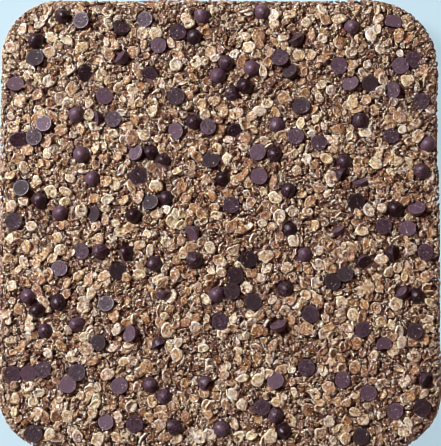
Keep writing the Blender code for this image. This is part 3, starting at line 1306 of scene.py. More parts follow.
@dataclass
class Bed:
    """The height of the pieces over one face as they are laid, on a grid of small cells.

    Heights are measured out of the slab's own surface, so the pressed surface is at 0.
    """

    face: Face
    start: float
    rng: np.random.Generator
    cell: float = 0.4 * MM
    hill_spacing: float = 4.0 * MM
    hill_height: float = 0.25 * MM
    patch_spacing: float = 26.0 * MM
    patch_shade: float = 0.05  # how much paler or browner the oats are from patch to patch
    rim_reach: float = 5.0 * MM  # how far in from its edge the pan's packing, and the painted light at the rim, reach
    rim_rise: float = 1.2 * MM  # how much higher it starts at the edge, where the pan packed the oats
    # Painted light: how much paler the oats are near the edge, which lifts the rounded rim out of its
    # shade.
    rim_painted_light: float = 0.5
    rim_toast: float = 0.35

    def __post_init__(self) -> None:
        """Lays out the grid."""
        spans = [self.face.high[i] - self.face.low[i] for i in range(2)]
        self.shape = tuple(int(span / self.cell) + 1 for span in spans)
        self.height = np.full(self.shape, self.start)
        self.height += smooth_field(self.shape, self.hill_spacing / self.cell, self.rng) * self.hill_height
        self.taken = np.zeros(self.shape, bool)
        u = self.face.low[0] + np.arange(self.shape[0]) * self.cell
        v = self.face.low[1] + np.arange(self.shape[1]) * self.cell
        self.inset = self.face.inset(*np.meshgrid(u, v, indexing="ij"))
        self.height += self.rim_rise * np.exp(-self.inset.clip(0.0) / self.rim_reach)
        self.patches = smooth_field(self.shape, self.patch_spacing / self.cell, self.rng)

    def cells(self, u: np.ndarray, v: np.ndarray) -> tuple[np.ndarray, np.ndarray]:
        """Finds the grid cells of some places.

        Args:
            u: The places across the face.
            v: The places along it.

        Returns:
            The cells, kept on the grid.
        """
        i = np.rint((u - self.face.low[0]) / self.cell).astype(int)
        j = np.rint((v - self.face.low[1]) / self.cell).astype(int)
        i = i % self.shape[0] if self.face.wraps else i.clip(0, self.shape[0] - 1)
        return i, j.clip(0, self.shape[1] - 1)

    def draw_places(self, count: int, thin: Spread, patchy: float = 0.0) -> tuple[np.ndarray, np.ndarray]:
        """Draws random places on the face, fewer at its edge and in the crumbly patches.

        Args:
            count: How many places.
            thin: The band at the edge, from where there are none to where there are all.
            patchy: How far their number varies from patch to patch.

        Returns:
            The places, as u and v.
        """
        found_u, found_v = [], []
        while sum(map(len, found_u)) < count:
            u = self.rng.uniform(self.face.low[0], self.face.high[0], count * 2)
            v = self.rng.uniform(self.face.low[1], self.face.high[1], count * 2)
            cells = self.cells(u, v)
            band = max(thin.high - thin.low, SLIVER)
            chance = ((self.inset[cells] - thin.low) / band).clip(0.0, 1.0)
            chance *= 1.0 - patchy * (0.5 + self.patches[cells] * 0.5).clip(0.0, 1.0)
            kept = self.rng.uniform(0.0, 1.0, count * 2) < chance
            found_u.append(u[kept])
            found_v.append(v[kept])
        return np.concatenate(found_u)[:count], np.concatenate(found_v)[:count]

    def lay(self, kind: OatKind) -> Pieces:
        """Lays pieces of one kind one after another, each where the bed is lowest of a few places.

        Args:
            kind: The kind of piece.

        Returns:
            The pieces laid.
        """
        pieces = Pieces()
        total = kind.count * kind.choices
        places = np.stack(self.draw_places(total, kind.edge_inset, kind.patchy), axis=1)
        places = places.reshape(kind.count, kind.choices, 2)
        shares = np.array([share for share, _ in kind.tilts])
        groups = self.rng.choice(len(kind.tilts), kind.count, p=shares / shares.sum())
        for choices, group in zip(places, groups):
            self._lay_one(kind, choices, kind.tilts[group][1], pieces)
        return pieces

    def _lay_one(self, kind: OatKind, choices: np.ndarray, most_tilt: float, pieces: Pieces) -> None:
        """Lays one piece in the lowest of some places, or nowhere if chips fill them all.

        Args:
            kind: The kind of piece.
            choices: The places, as u and v.
            most_tilt: How far it may tilt, in degrees.
            pieces: Takes the piece.
        """
        rng = self.rng
        half = kind.length.draw(rng) / 2
        reach = (half, half * kind.roundness.draw(rng), kind.thickness.draw(rng) / 2)
        heading = rng.uniform(0.0, 2 * math.pi)
        ahead = np.array([math.cos(heading), math.sin(heading), 0.0])
        aside = np.array([-ahead[1], ahead[0], 0.0])
        flat = PATTERN[:, :1] * reach[0] * ahead + PATTERN[:, 1:] * reach[1] * aside
        i, j = self.cells(choices[:, :1] + flat[:, 0], choices[:, 1:] + flat[:, 1])
        levels = self.height[i, j]
        crowded = self.taken[i, j].sum(axis=1) > kind.on_chips * len(PATTERN)
        best = int((levels.mean(axis=1) + crowded).argmin())
        if crowded[best]:
            return
        slope = PLANE_FIT @ levels[best]
        uphill = slope[0] / reach[0] * ahead + slope[1] / reach[1] * aside
        turn = self._tilted(kind, most_tilt, ahead, uphill)
        offsets = PATTERN[:, :1] * reach[0] * turn[:, 0] + PATTERN[:, 1:] * reach[1] * turn[:, 1]
        u, v = choices[best]
        i, j = self.cells(u + offsets[:, 0], v + offsets[:, 1])
        height = np.percentile(self.height[i, j] - offsets[:, 2], kind.rest) + reach[2] * kind.seat
        top = height + offsets[:, 2].max() + reach[2] * kind.crown
        height -= max(0.0, top - kind.ceiling)
        self._raise(u, v, height, turn, reach)
        here = self.cells(np.array(u), np.array(v))
        at_rim = math.exp(-max(float(self.inset[here]), 0.0) / self.rim_reach)
        patch = self.patch_shade * float(self.patches[here])
        pieces.add(
            self.face.spot(u, v), turn, height, reach,
            bend=(kind.bow.draw(rng), kind.bow.draw(rng),
                  kind.fold.draw(rng) * (rng.uniform() < kind.folded)),
            snap=tuple(kind.snaps.draw(rng) for _ in range(3)),
            room=kind.pressed.draw(rng) - height if kind.pressed else 1.0,
            # Oats near the rim are paler: painted light.
            shade=kind.shade.draw(rng) + self.rim_painted_light * at_rim + patch,
            toast=min(1.0, kind.toast.draw(rng) + self.rim_toast * at_rim * rng.uniform()),
        )

    def _tilted(self, kind: OatKind, most_tilt: float, ahead: np.ndarray, uphill: np.ndarray) -> np.ndarray:
        """Tilts a piece at random and leans it with what it lies on.

        Args:
            kind: The kind of piece.
            most_tilt: How far it may tilt, in degrees.
            ahead: The level direction of its length.
            uphill: The slope of what it lies on.

        Returns:
            Its axes in the face's own directions, as columns.
        """
        lean = math.tan(math.radians(self.rng.uniform(0.0, most_tilt)))
        way = self.rng.uniform(0.0, 2 * math.pi)
        tilt = np.array([lean * math.cos(way), lean * math.sin(way), 1.0])
        outward = unit(tilt - kind.follow * uphill)
        return square_axes(unit(ahead - (ahead @ outward) * outward), outward)

    def _raise(self, u: float, v: float, height: float, turn: np.ndarray, reach: tuple) -> None:
        """Raises the bed to the top of a piece just laid.

        Args:
            u: The piece's place across the face.
            v: Its place along it.
            height: How far its middle stands out of the slab's surface.
            turn: Its axes, as columns.
            reach: Its half length, half width and half thickness.
        """
        span = int(max(reach[:2]) / self.cell) + 1
        step = np.arange(-span, span + 1)
        i, j = self.cells(u + step * self.cell, v + step * self.cell)
        du = (step * self.cell)[:, None]
        dv = (step * self.cell)[None, :]
        outward = turn[:, 2]
        rise = -(outward[0] * du + outward[1] * dv) / outward[2]
        x = (turn[0, 0] * du + turn[1, 0] * dv + turn[2, 0] * rise) / reach[0]
        y = (turn[0, 1] * du + turn[1, 1] * dv + turn[2, 1] * rise) / reach[1]
        radius = x * x + y * y
        top = height + rise + reach[2] * np.sqrt(np.clip(1.0 - radius ** 4, 0.0, 1.0)) / outward[2]
        window = np.ix_(i, j)
        old = self.height[window]
        self.height[window] = np.where(radius < 1.0, np.maximum(old, top), old)


# ---------------------------------------------------------------------------------------------
# Geometry trees
# ---------------------------------------------------------------------------------------------


# Profiles run from the middle of the upper side, at 0, to the middle of the lower side, at 1. Each is
# its two ends and then the points between.
OAT_EDGE = 0.667  # where an oat's outermost edge lies
OAT_RADIUS = ((0.0, 0.0), (1.0, 0.0),
              (0.167, 0.47), (0.333, 0.76), (0.5, 0.93), (0.667, 1.0), (0.833, 0.74))
OAT_HEIGHT = ((0.0, 0.96), (1.0, 0.06),
              (0.167, 0.97), (0.333, 1.0), (0.5, 0.86), (0.667, 0.45), (0.833, 0.08))
OAT_HOLLOW = (0.10, 0.36)  # from where to where its hollow middle fills up
OAT_DISHING = Rise(1.3, gain=-1.6)  # how hollow each is, as a share of its kind's dish
OAT_CREASE = 0.3  # half width of the crease in a folded one, and the fold that creases it in full
OAT_CREASE_SHADE = 0.6  # how much of its rim's colour the crease takes away
CHIP_EDGE = 0.80  # where a chip's base begins
CHIP_RADIUS = ((0.0, 0.0), (1.0, 0.0),
               (0.1, 0.22), (0.2, 0.44), (0.4, 0.80), (0.6, 0.975), (0.7, 1.0), (0.8, 0.955), (0.9, 0.6))
CHIP_HEIGHT = ((0.0, 1.0), (1.0, 0.02),
               (0.1, 0.94), (0.2, 0.85), (0.4, 0.52), (0.6, 0.16), (0.7, 0.035), (0.8, 0.0), (0.9, 0.01))
SNAP_WAYS = (0.0, 130.0, 235.0)  # which way a piece's three snapped sides face, in degrees round it
CELL_REACH = (0.22, 0.44)  # how far a side of a piece reaches in its cell of the UV map, across and along


@dataclass(frozen=True)
class Ball:
    """The blank balls that a tree shapes, and where each of their points is on a ball of radius 1."""

    shapes: Field
    z: Field
    along: Field  # from 0 at the top to 1 at the bottom
    way: Field  # the level direction from the ball's axis


def blanks(graph: Graph) -> Ball:
    """Starts a tree that shapes one blank ball at every point of its carrier.

    Args:
        graph: The tree.

    Returns:
        The balls.
    """
    carrier = graph.entry("Geometry", "NodeSocketGeometry")
    segments = graph.entry("Segments", "NodeSocketInt", 12)
    rings = graph.entry("Rings", "NodeSocketInt", 6)
    ball = graph.node("GeometryNodeMeshUVSphere", segments, rings, 1.0)
    laid = graph.node("GeometryNodeInstanceOnPoints", carrier, named={"Instance": ball})
    shapes = graph.node("GeometryNodeRealizeInstances", laid)
    place = graph.node("GeometryNodeInputPosition") - graph.read_vector("middle")
    x, y, z = place.parts()
    return Ball(shapes, z, graph.math("ARCCOSINE", z) / math.pi, graph.direction(x, y))


def cell_map(graph: Graph, shapes: Field, ball: Ball, edge: float) -> Field:
    """Gives each shape a cell of its own in the UV map: its upper side left, its lower side right.

    Args:
        graph: The tree.
        shapes: The shapes' geometry, still as balls.
        ball: The balls.
        edge: Where its upper side meets its lower side, as a share of the way down the ball.

    Returns:
        The geometry with its UV map.
    """
    width, height = graph.numbers(Cell_Width=0.1, Cell_Height=0.1)
    side = graph.node("GeometryNodeFieldOnDomain", ball.z, domain="FACE", data_type="FLOAT")
    lower = graph.math("LESS_THAN", side, math.cos(math.pi * edge))
    upper_reach = graph.math("MINIMUM", ball.along / edge, 1.0)
    lower_reach = graph.math("MINIMUM", (1.0 - ball.along) / (1.0 - edge), 1.0)
    reach = upper_reach + (lower_reach - upper_reach) * lower
    way_x, way_y, _ = ball.way.parts()
    corner_u, corner_v, _ = graph.read_vector("cell").parts()
    u = corner_u + width * (way_x * reach * CELL_REACH[0] + 0.25 + lower * 0.5)
    v = corner_v + height * (way_y * reach * CELL_REACH[1] + 0.5)
    return graph.stored(shapes, BAKE_MAP, graph.vector(u, v, 0.0), "FLOAT2", "CORNER")


def finish_shapes(graph: Graph, shapes: Field, local: Field) -> None:
    """Ends a tree: turns each shape, presses it, puts it in its place and gives it its material.

    Args:
        graph: The tree.
        shapes: The shapes' geometry, still as balls.
        local: Each point's new place in its shape's own axes, in metres.
    """
    outward = graph.read_vector("outward")
    turned = graph.node("FunctionNodeRotateVector", local, graph.read_attribute("turn", "QUATERNION"))
    over = graph.math("MAXIMUM", turned.dot(outward) - graph.read_attribute("room"), 0.0)
    pressed = turned - outward * over
    shapes = graph.stored(shapes, "depth", graph.read_attribute("sunk") - pressed.dot(outward))
    x, y, z = (graph.read_vector("middle") + pressed).parts()
    floor, sharp = graph.numbers(Floor=0.0, Sharp_Angle=math.pi)
    held = graph.vector(x, y, graph.math("MAXIMUM", z, floor))
    placed = graph.node("GeometryNodeSetPosition", shapes, named={"Position": held})
    for name in ("reach", "outward", "bend", "cell", "snap", "room", "sunk", "seed", "turn", "middle"):
        placed = graph.node("GeometryNodeRemoveAttribute", placed, named={"Name": name})
    smooth = graph.node("GeometryNodeSetShadeSmooth", placed)
    angle = graph.node("GeometryNodeInputMeshEdgeAngle", out="Unsigned Angle")
    edged = graph.node("GeometryNodeSetShadeSmooth", smooth, domain="EDGE", named={
        "Selection": graph.math("GREATER_THAN", angle, sharp), "Shade Smooth": False})
    graph.hand_over(edged)


def snapped(graph: Graph, place: Field) -> Field:
    """Snaps off a piece's three sides.

    Args:
        graph: The tree.
        place: The piece's points, level and on a radius of about 1.

    Returns:
        The points, with those past a snapped side pressed back onto it.
    """
    for way, limit in zip(SNAP_WAYS, graph.read_vector("snap").parts()):
        angle = math.radians(way)
        side = graph.vector(math.cos(angle), math.sin(angle), 0.0)
        over = graph.math("MAXIMUM", place.dot(side) - limit, 0.0)
        place = place - side * over
    return place


def oat_tree() -> bpy.types.NodeTree:
    """Geometry tree: shapes rolled oats, whole, broken or crumbled, from balls at the carrier's points.

    Returns:
        The tree.
    """
    graph = Graph.geometry("shape_oats")
    ball = blanks(graph)
    outline, lobes, dish, lumps, lump_scale, crumbliness = graph.numbers(
        Outline_Unevenness=0.2, Outline_Lobes=1.6, Dish=0.5, Lumps=0.25, Lump_Scale=1.6, Crumbliness=0.5)
    seed = graph.read_attribute("seed")
    ragged = graph.swing(ball.way, lobes, seed, roughness=0.6)
    radius = graph.profile_curve(ball.along, OAT_RADIUS)
    flat_x, flat_y, _ = snapped(graph, ball.way * (radius * (ragged * outline + 1.0))).parts()
    hollow = dish * OAT_DISHING.at(graph.math("FRACT", seed))
    body = graph.profile_curve(ball.along, OAT_HEIGHT) * 2.0 - 1.0
    body = body - graph.smooth(ball.along, *OAT_HOLLOW, 1.0, 0.0) * hollow
    lump = graph.swing(graph.vector(flat_x, flat_y, ball.z * 0.5), lump_scale, seed + 31.0)
    half_x, half_y, half_z = graph.read_vector("reach").parts()
    bow_x, bow_y, fold = graph.read_vector("bend").parts()
    aside = graph.math("ABSOLUTE", flat_y)
    bowed = flat_x * flat_x * bow_x + flat_y * flat_y * bow_y + aside * fold
    height = half_z * (body + lump * lumps) + half_y * bowed
    crease = graph.smooth(aside, 0.0, OAT_CREASE, 1.0, 0.0) * graph.smooth(fold, 0.0, OAT_CREASE)
    shapes = ball.shapes
    for name, value in (
        ("rim", radius * (1.0 - crease * OAT_CREASE_SHADE)),
        ("tint", graph.math("FRACT", seed * 0.37)),
        ("crumbly", crumbliness * (graph.math("FRACT", seed * 0.61) + 0.5)),
    ):
        shapes = graph.stored(shapes, name, value)
    shapes = cell_map(graph, shapes, ball, OAT_EDGE)
    finish_shapes(graph, shapes, graph.vector(flat_x * half_x, flat_y * half_y, height))
    return graph.tree


def chip_tree() -> bpy.types.NodeTree:
    """Geometry tree: shapes chocolate chips, with a flat base, a round side and a leaning tip.

    Returns:
        The tree.
    """
    graph = Graph.geometry("shape_chips")
    ball = blanks(graph)
    wobble, lobes, dents, dent_scale = graph.numbers(Wobble=0.05, Lobes=1.1, Dents=0.06, Dent_Scale=1.5)
    seed = graph.read_attribute("seed")
    radius = graph.profile_curve(ball.along, CHIP_RADIUS)
    height = graph.profile_curve(ball.along, CHIP_HEIGHT)
    uneven = graph.swing(ball.way, lobes, seed, detail=1.0)
    flat_x, flat_y, _ = snapped(graph, ball.way * (radius * (uneven * wobble + 1.0))).parts()
    dent = graph.swing(graph.vector(flat_x, flat_y, height), dent_scale, seed + 17.0, detail=1.0)
    lean_x, lean_y, _ = graph.read_vector("bend").parts()
    flat_x = flat_x + lean_x * height * height
    flat_y = flat_y + lean_y * height * height
    half_x, half_y, tall = graph.read_vector("reach").parts()
    shapes = cell_map(graph, graph.stored(ball.shapes, "rim", ball.along), ball, CHIP_EDGE)
    local = graph.vector(flat_x * half_x, flat_y * half_y, height * tall + dent * dents * half_x)
    finish_shapes(graph, shapes, local)
    return graph.tree


def binder_tree() -> bpy.types.NodeTree:
    """Geometry tree: draws a shell in from the slab's surface and roughens it with syrup and dust.

    Returns:
        The tree.
    """
    graph = Graph.geometry("rough_binder")
    shell = graph.entry("Geometry", "NodeSocketGeometry")
    inset, relief, spacing, lowest, seed, foot, foot_share = graph.numbers(
        Inset=1.5 * MM, Relief=0.8 * MM, Spacing=3.5 * MM, Lowest=0.3 * MM, Seed=4.0,
        Foot=4.0 * MM, Foot_Share=0.35)
    place = graph.node("GeometryNodeInputPosition")
    lump = graph.swing(place, graph.math("DIVIDE", 1.0, spacing), seed, roughness=0.6)
    normal = graph.node("GeometryNodeInputNormal")
    # Near the base the shell moves less, so that it keeps its foot.
    share = graph.smooth(place.parts()[2], 0.0, foot, foot_share, 1.0)
    x, y, z = (place + normal * (lump * relief - inset) * share).parts()
    held = graph.vector(x, y, graph.math("MAXIMUM", z, lowest))
    steep = 1.0 - graph.math("ABSOLUTE", normal.parts()[2])
    shaped_shell = graph.node("GeometryNodeSetPosition", graph.stored(shell, "steep", steep),
                              named={"Position": held})
    graph.hand_over(graph.node("GeometryNodeSetShadeSmooth", shaped_shell))
    return graph.tree


def shaped(name: str, pieces: Pieces, tree: bpy.types.NodeTree,
           inputs: Mapping[str, Any]) -> bpy.types.Object:
    """Turns laid pieces into one mesh.

    Args:
        name: The mesh's name.
        pieces: The pieces.
        tree: The tree that shapes them.
        inputs: Values for the tree's named inputs.

    Returns:
        The mesh's object.
    """
    carrier = pieces.carrier(name)
    cells = {"Cell Width": carrier["cell_width"], "Cell Height": carrier["cell_height"]}
    return grown(carrier, tree, {**cells, **inputs}, name)


# ---------------------------------------------------------------------------------------------
# Sub-assemblies
# ---------------------------------------------------------------------------------------------


@dataclass
class Workshop:
    """What every sub-assembly builds with: the measured slab, the trees and the materials."""

    slab: Slab
    oats: bpy.types.NodeTree
    chips: bpy.types.NodeTree
    oat_material: bpy.types.Material
    binder_material: bpy.types.Material
    chocolate_material: bpy.types.Material


@dataclass
class Binder:
    """The core: syrup and oat dust that show in the gaps between the pieces, dark enough to be partly
    painted shade there.
    """

    voxel: float = 2.1 * MM  # about the size of its faces
    inset: float = 1.55 * MM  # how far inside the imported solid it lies
    relief: float = 0.8 * MM
    spacing: float = 3.4 * MM  # from one lump to the next
    lowest: float = 0.35 * MM

    def build(self, shop: Workshop) -> bpy.types.Object:
        """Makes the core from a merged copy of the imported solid.

        Args:
            shop: The slab, the trees and the materials.

        Returns:
            The finished piece.
        """
        mesh = shop.slab.node.data.copy()
        carrier = bpy.data.objects.new("binder_shell", mesh)
        bpy.context.scene.collection.objects.link(carrier)
        remesh = carrier.modifiers.new("even_faces", "REMESH")
        remesh.mode = "VOXEL"
        remesh.voxel_size = self.voxel
        piece = grown(carrier, binder_tree(), {
            "Inset": self.inset, "Relief": self.relief, "Spacing": self.spacing,
            "Lowest": self.lowest, "Material": shop.binder_material}, "syrup_binder")
        return dressed(piece)


class ChipPose(Enum):
    """How a chip came to lie when it was pressed in."""

    BASE_UP = "base up"
    TIP_UP = "tip up"
    TILTED = "tilted"
    BURIED = "buried"


@dataclass(frozen=True)
class ChipHold:
    """What one pose asks of a chip: its share of all chips, its tilt and how far it stands out."""

    share: float
    tilt: Spread  # how far the tip points away from straight out, in degrees
    proud: Spread  # height of its base's middle over the pressed surface
    clear: float = 0.80  # how much of its radius is kept clear of oats


@dataclass
class Chips:
    """Chocolate chips pressed into the faces."""

    radius: Spread = mm(4.1, 4.5)
    squash: Spread = Spread(0.93, 1.0)  # its other radius, as a share of that
    tall: Spread = mm(4.6, 5.8)
    heart: float = 0.25  # how far up a chip the point lies that oats are kept clear of
    lean: Spread = Spread(-0.12, 0.12)  # how far its tip leans
    on_top: tuple[int, float] = (146, 5.0 * MM)  # how many, and how far from the face's edge they keep
    on_wall: tuple[int, float] = (12, 9.0 * MM)
    on_base: tuple[int, float] = (36, 8.0 * MM)
    apart: float = 1.05  # least distance between chips, in chip widths
    slack: float = 0.999  # how much of that distance is enough, after rounding
    candidates: int = 3  # places tried for a chip, of which the emptiest is taken
    beside_share: float = 0.17  # share pressed in right beside another
    beside: Spread = Spread(0.84, 1.0)
    broken_share: float = 0.04
    broken_at: Spread = Spread(0.3, 0.8)  # how far from its middle a broken chip ends
    unbroken: float = 2.0  # and a whole one, which is further than it reaches
    pan_gap: float = 0.1 * MM  # how far chips at the pan stand out of the slab
    segments: int = 20
    rings: int = 9
    sharp: float = 30.0  # edges over this angle, in degrees, are shaded as edges
    holds: Mapping[ChipPose, ChipHold] = field(default_factory=lambda: {
        ChipPose.BASE_UP: ChipHold(0.48, Spread(160.0, 180.0), mm(0.5, 1.7)),
        ChipPose.TIP_UP: ChipHold(0.28, Spread(0.0, 24.0), mm(-2.6, -1.0)),
        ChipPose.TILTED: ChipHold(0.15, Spread(110.0, 148.0), mm(-0.2, 1.4)),
        ChipPose.BURIED: ChipHold(0.09, Spread(60.0, 150.0), mm(-1.6, -0.4), clear=0.45),
    })

    def build(self, shop: Workshop, top: Bed, wall: Bed, base: Bed) -> bpy.types.Object:
        """Presses chips into every face, before the oats, and makes them one piece.

        Args:
            shop: The slab, the trees and the materials.
            top: The top's bed.
            wall: The wall's bed.
            base: The base's bed.

        Returns:
            The finished piece.
        """
        pieces = Pieces()
        self.press_in(top, *self.on_top, pieces)
        self.press_in(wall, *self.on_wall, pieces, at_pan=True)
        self.press_in(base, *self.on_base, pieces, at_pan=True)
        piece = shaped("chocolate_chips", pieces, shop.chips, {
            "Segments": self.segments, "Rings": self.rings, "Sharp Angle": math.radians(self.sharp),
            "Material": shop.chocolate_material})
        return dressed(piece)

    def places(self, bed: Bed, count: int, edge: float) -> list[tuple[float, float]]:
        """Scatters places over a face, evenly but for a few that touch.

        Args:
            bed: The face's bed.
            count: How many places.
            edge: Least distance from the face's edge.

        Returns:
            The places, as u and v.
        """
        found: list[tuple[float, float]] = []
        width = self.radius.low + self.radius.high
        while len(found) < count:
            if found and bed.rng.uniform() < self.beside_share:
                u, v = found[bed.rng.integers(len(found))]
                way = bed.rng.uniform(0.0, 2 * math.pi)
                gap = width * self.beside.draw(bed.rng)
                tried = [(u + gap * math.cos(way), v + gap * math.sin(way))]
                least = width * self.beside.low
            else:
                us, vs = bed.draw_places(self.candidates, Spread(edge, edge + SLIVER))
                tried = list(zip(us.tolist(), vs.tolist()))
                least = width * self.apart
            room = [min((math.dist(spot, other) for other in found), default=1.0) for spot in tried]
            best = tried[int(np.argmax(room))]
            if max(room) >= least * self.slack and bed.inset[bed.cells(*map(np.array, best))] >= edge:
                found.append(best)
        return found

    def press_in(self, bed: Bed, count: int, edge: float, pieces: Pieces, at_pan: bool = False) -> None:
        """Presses chips into a face and keeps their places clear of oats.

        Args:
            bed: The face's bed.
            count: How many chips.
            edge: Least distance from the face's edge.
            pieces: Takes the chips laid.
            at_pan: Whether the face lay against the pan, which pushed its chips in flush.
        """
        poses = list(self.holds)
        shares = [self.holds[pose].share for pose in poses]
        for place in self.places(bed, count, edge):
            hold = self.holds[poses[bed.rng.choice(len(poses), p=shares)]]
            self._press_one(bed, place, hold, at_pan, pieces)

    def _press_one(self, bed: Bed, place: tuple[float, float], hold: ChipHold, at_pan: bool,
                   pieces: Pieces) -> None:
        """Presses one chip in and keeps its place clear of oats.

        Args:
            bed: The face's bed.
            place: The chip's place, as u and v.
            hold: How it lies.
            at_pan: Whether the pan pushed it in flush.
            pieces: Takes the chip.
        """
        rng = bed.rng
        radius, tall = self.radius.draw(rng), self.tall.draw(rng)
        tilt = math.radians(hold.tilt.draw(rng))
        heading = rng.uniform(0.0, 2 * math.pi)
        turn = Matrix.Rotation(heading, 3, "Z") @ Matrix.Rotation(tilt, 3, "Y")
        turn = np.array(turn @ Matrix.Rotation(rng.uniform(0.0, 2 * math.pi), 3, "Z"))
        height = hold.proud.draw(rng)
        if at_pan:
            height = self.pan_gap - max(tall * math.cos(tilt), radius * math.sin(tilt))
        broken = rng.uniform() < self.broken_share
        end = self.broken_at.draw(rng) if broken else self.unbroken
        pieces.add(
            bed.face.spot(*place), turn, height, (radius, radius * self.squash.draw(rng), tall),
            bend=tuple(self.lean.draw(rng) for _ in range(3)), snap=(end, self.unbroken, self.unbroken),
            room=1.0, shade=rng.uniform(0.0, 1.0), toast=0.0,
        )
        span = int(radius / bed.cell) + 2
        step = np.arange(-span, span + 1) * bed.cell
        i, j = bed.cells(place[0] + step, place[1] + step)
        middle_u, middle_v = turn[0, 2] * tall * self.heart, turn[1, 2] * tall * self.heart
        near = np.hypot(step[:, None] - middle_u, step[None, :] - middle_v) < radius * hold.clear
        bed.taken[np.ix_(i, j)] |= near


CRUMB_EDGE = 50.0  # degrees, for the shading of broken and crumbled pieces
TOP_KINDS = (
    OatKind("under_flakes", count=460, length=mm(4.2, 6.6), roundness=Spread(0.70, 0.95),
            thickness=mm(1.4, 2.0), segments=10, rings=4, shade=Spread(0.1, 0.55),
            tilts=((0.7, 20.0), (0.3, 45.0)), choices=3, ceiling=-0.9 * MM,
            edge_inset=mm(2.4, 4.5), toast=Spread(0.0, 0.1)),
    OatKind("broken_flakes", count=1400, length=mm(3.0, 5.4), roundness=Spread(0.60, 0.95),
            thickness=mm(1.1, 2.0), segments=10, rings=5, shade=Spread(0.2, 0.95),
            tilts=((0.6, 25.0), (0.4, 60.0)), choices=6, ceiling=0.8 * MM, edge_inset=mm(2.8, 5.5),
            snaps=Spread(0.45, 2.2), lumps=0.65, lump_scale=2.2, dish=0.3, sharp=CRUMB_EDGE,
            toast=Spread(0.0, 0.15), crumbly=0.35, on_chips=0.06),
    OatKind("oat_clusters", count=840, length=mm(3.0, 5.6), roundness=Spread(0.65, 1.0),
            thickness=mm(2.0, 3.0), segments=12, rings=7, shade=Spread(0.2, 0.95),
            tilts=((1.0, 40.0),), choices=6, ceiling=1.1 * MM, edge_inset=mm(3.0, 6.0),
            outline=0.6, lobes=2.2, lumps=0.9, lump_scale=3.2, dish=0.0, sharp=60.0,
            toast=Spread(0.0, 0.15), crumbly=1.0, on_chips=0.06),
    OatKind("whole_flakes", count=820, length=mm(5.0, 7.8), roundness=Spread(0.60, 0.95),
            thickness=mm(1.2, 2.1), segments=14, rings=6, shade=Spread(0.22, 1.0),
            tilts=((0.6, 14.0), (0.3, 34.0), (0.1, 60.0)), choices=6, ceiling=1.15 * MM,
            edge_inset=mm(3.8, 6.5), patchy=0.4, outline=0.5, lobes=1.6, lumps=0.65, lump_scale=2.4,
            dish=0.5, toast=Spread(0.0, 0.1), crumbly=0.15, on_chips=0.06),
    OatKind("oat_crumbs", count=4400, length=mm(1.4, 3.2), roundness=Spread(0.5, 1.0),
            thickness=mm(0.9, 1.8), segments=7, rings=4, shade=Spread(0.42, 1.05),
            tilts=((0.6, 30.0), (0.4, 60.0)), choices=6, ceiling=0.7 * MM, edge_inset=mm(1.2, 1.9),
            snaps=Spread(0.5, 1.7), outline=0.6, lumps=0.6, dish=0.0, sharp=CRUMB_EDGE,
            toast=Spread(0.0, 0.2), crumbly=0.8, on_chips=0.06),
    OatKind("oat_grains", count=6600, length=mm(0.7, 1.5), roundness=Spread(0.5, 1.0),
            thickness=mm(0.5, 0.9), segments=5, rings=3, shade=Spread(0.5, 1.1),
            tilts=((1.0, 60.0),), choices=4, ceiling=0.8 * MM, edge_inset=mm(0.8, 1.2),
            snaps=Spread(0.4, 1.2), outline=0.6, lumps=0.5, dish=0.0, sharp=CRUMB_EDGE,
            toast=Spread(0.0, 0.2), crumbly=0.6, on_chips=0.08),
)
PAN_SIDE = mm(-0.15, 0.15)  # where the pan's side cuts the wall's pieces flat
PAN_FLOOR = mm(-0.30, 0.0)  # where the pan's floor cuts the base's pieces flat
WALL_KINDS = (
    OatKind("wall_flakes", count=560, length=mm(3.8, 6.6), roundness=Spread(0.66, 0.95),
            thickness=mm(1.0, 1.5), segments=10, rings=4, shade=Spread(0.45, 0.95),
            tilts=((0.9, 8.0), (0.1, 25.0)), choices=4, follow=0.3, ceiling=0.15 * MM,
            pressed=PAN_SIDE, edge_inset=mm(6.0, 9.0), toast=Spread(0.1, 0.5), crumbly=0.4),
    OatKind("wall_crumbs", count=3300, length=mm(1.2, 3.0), roundness=Spread(0.55, 1.0),
            thickness=mm(0.8, 1.5), segments=7, rings=3, shade=Spread(0.5, 1.05),
            tilts=((1.0, 35.0),), choices=5, ceiling=0.3 * MM, pressed=PAN_SIDE,
            snaps=Spread(0.4, 1.6), outline=0.5, lumps=0.4, dish=0.0, sharp=CRUMB_EDGE,
            toast=Spread(0.1, 0.5), crumbly=0.8),
)
BASE_KINDS = (
    OatKind("base_flakes", count=900, length=mm(4.4, 7.0), roundness=Spread(0.7, 0.95),
            thickness=mm(1.0, 1.5), segments=10, rings=3, shade=Spread(0.1, 0.6),
            tilts=((1.0, 5.0),), choices=4, follow=0.2, ceiling=0.0, pressed=PAN_FLOOR,
            edge_inset=mm(1.5, 2.5), toast=Spread(0.1, 0.5), crumbly=0.4),
    OatKind("base_crumbs", count=1000, length=mm(1.6, 3.4), roundness=Spread(0.6, 1.0),
            thickness=mm(0.9, 1.5), segments=7, rings=3, shade=Spread(0.1, 0.7),
            tilts=((1.0, 20.0),), choices=5, ceiling=0.0, pressed=PAN_FLOOR,
            edge_inset=mm(1.5, 2.5), snaps=Spread(0.4, 1.6), dish=0.0, toast=Spread(0.1, 0.5),
            crumbly=0.8),
)


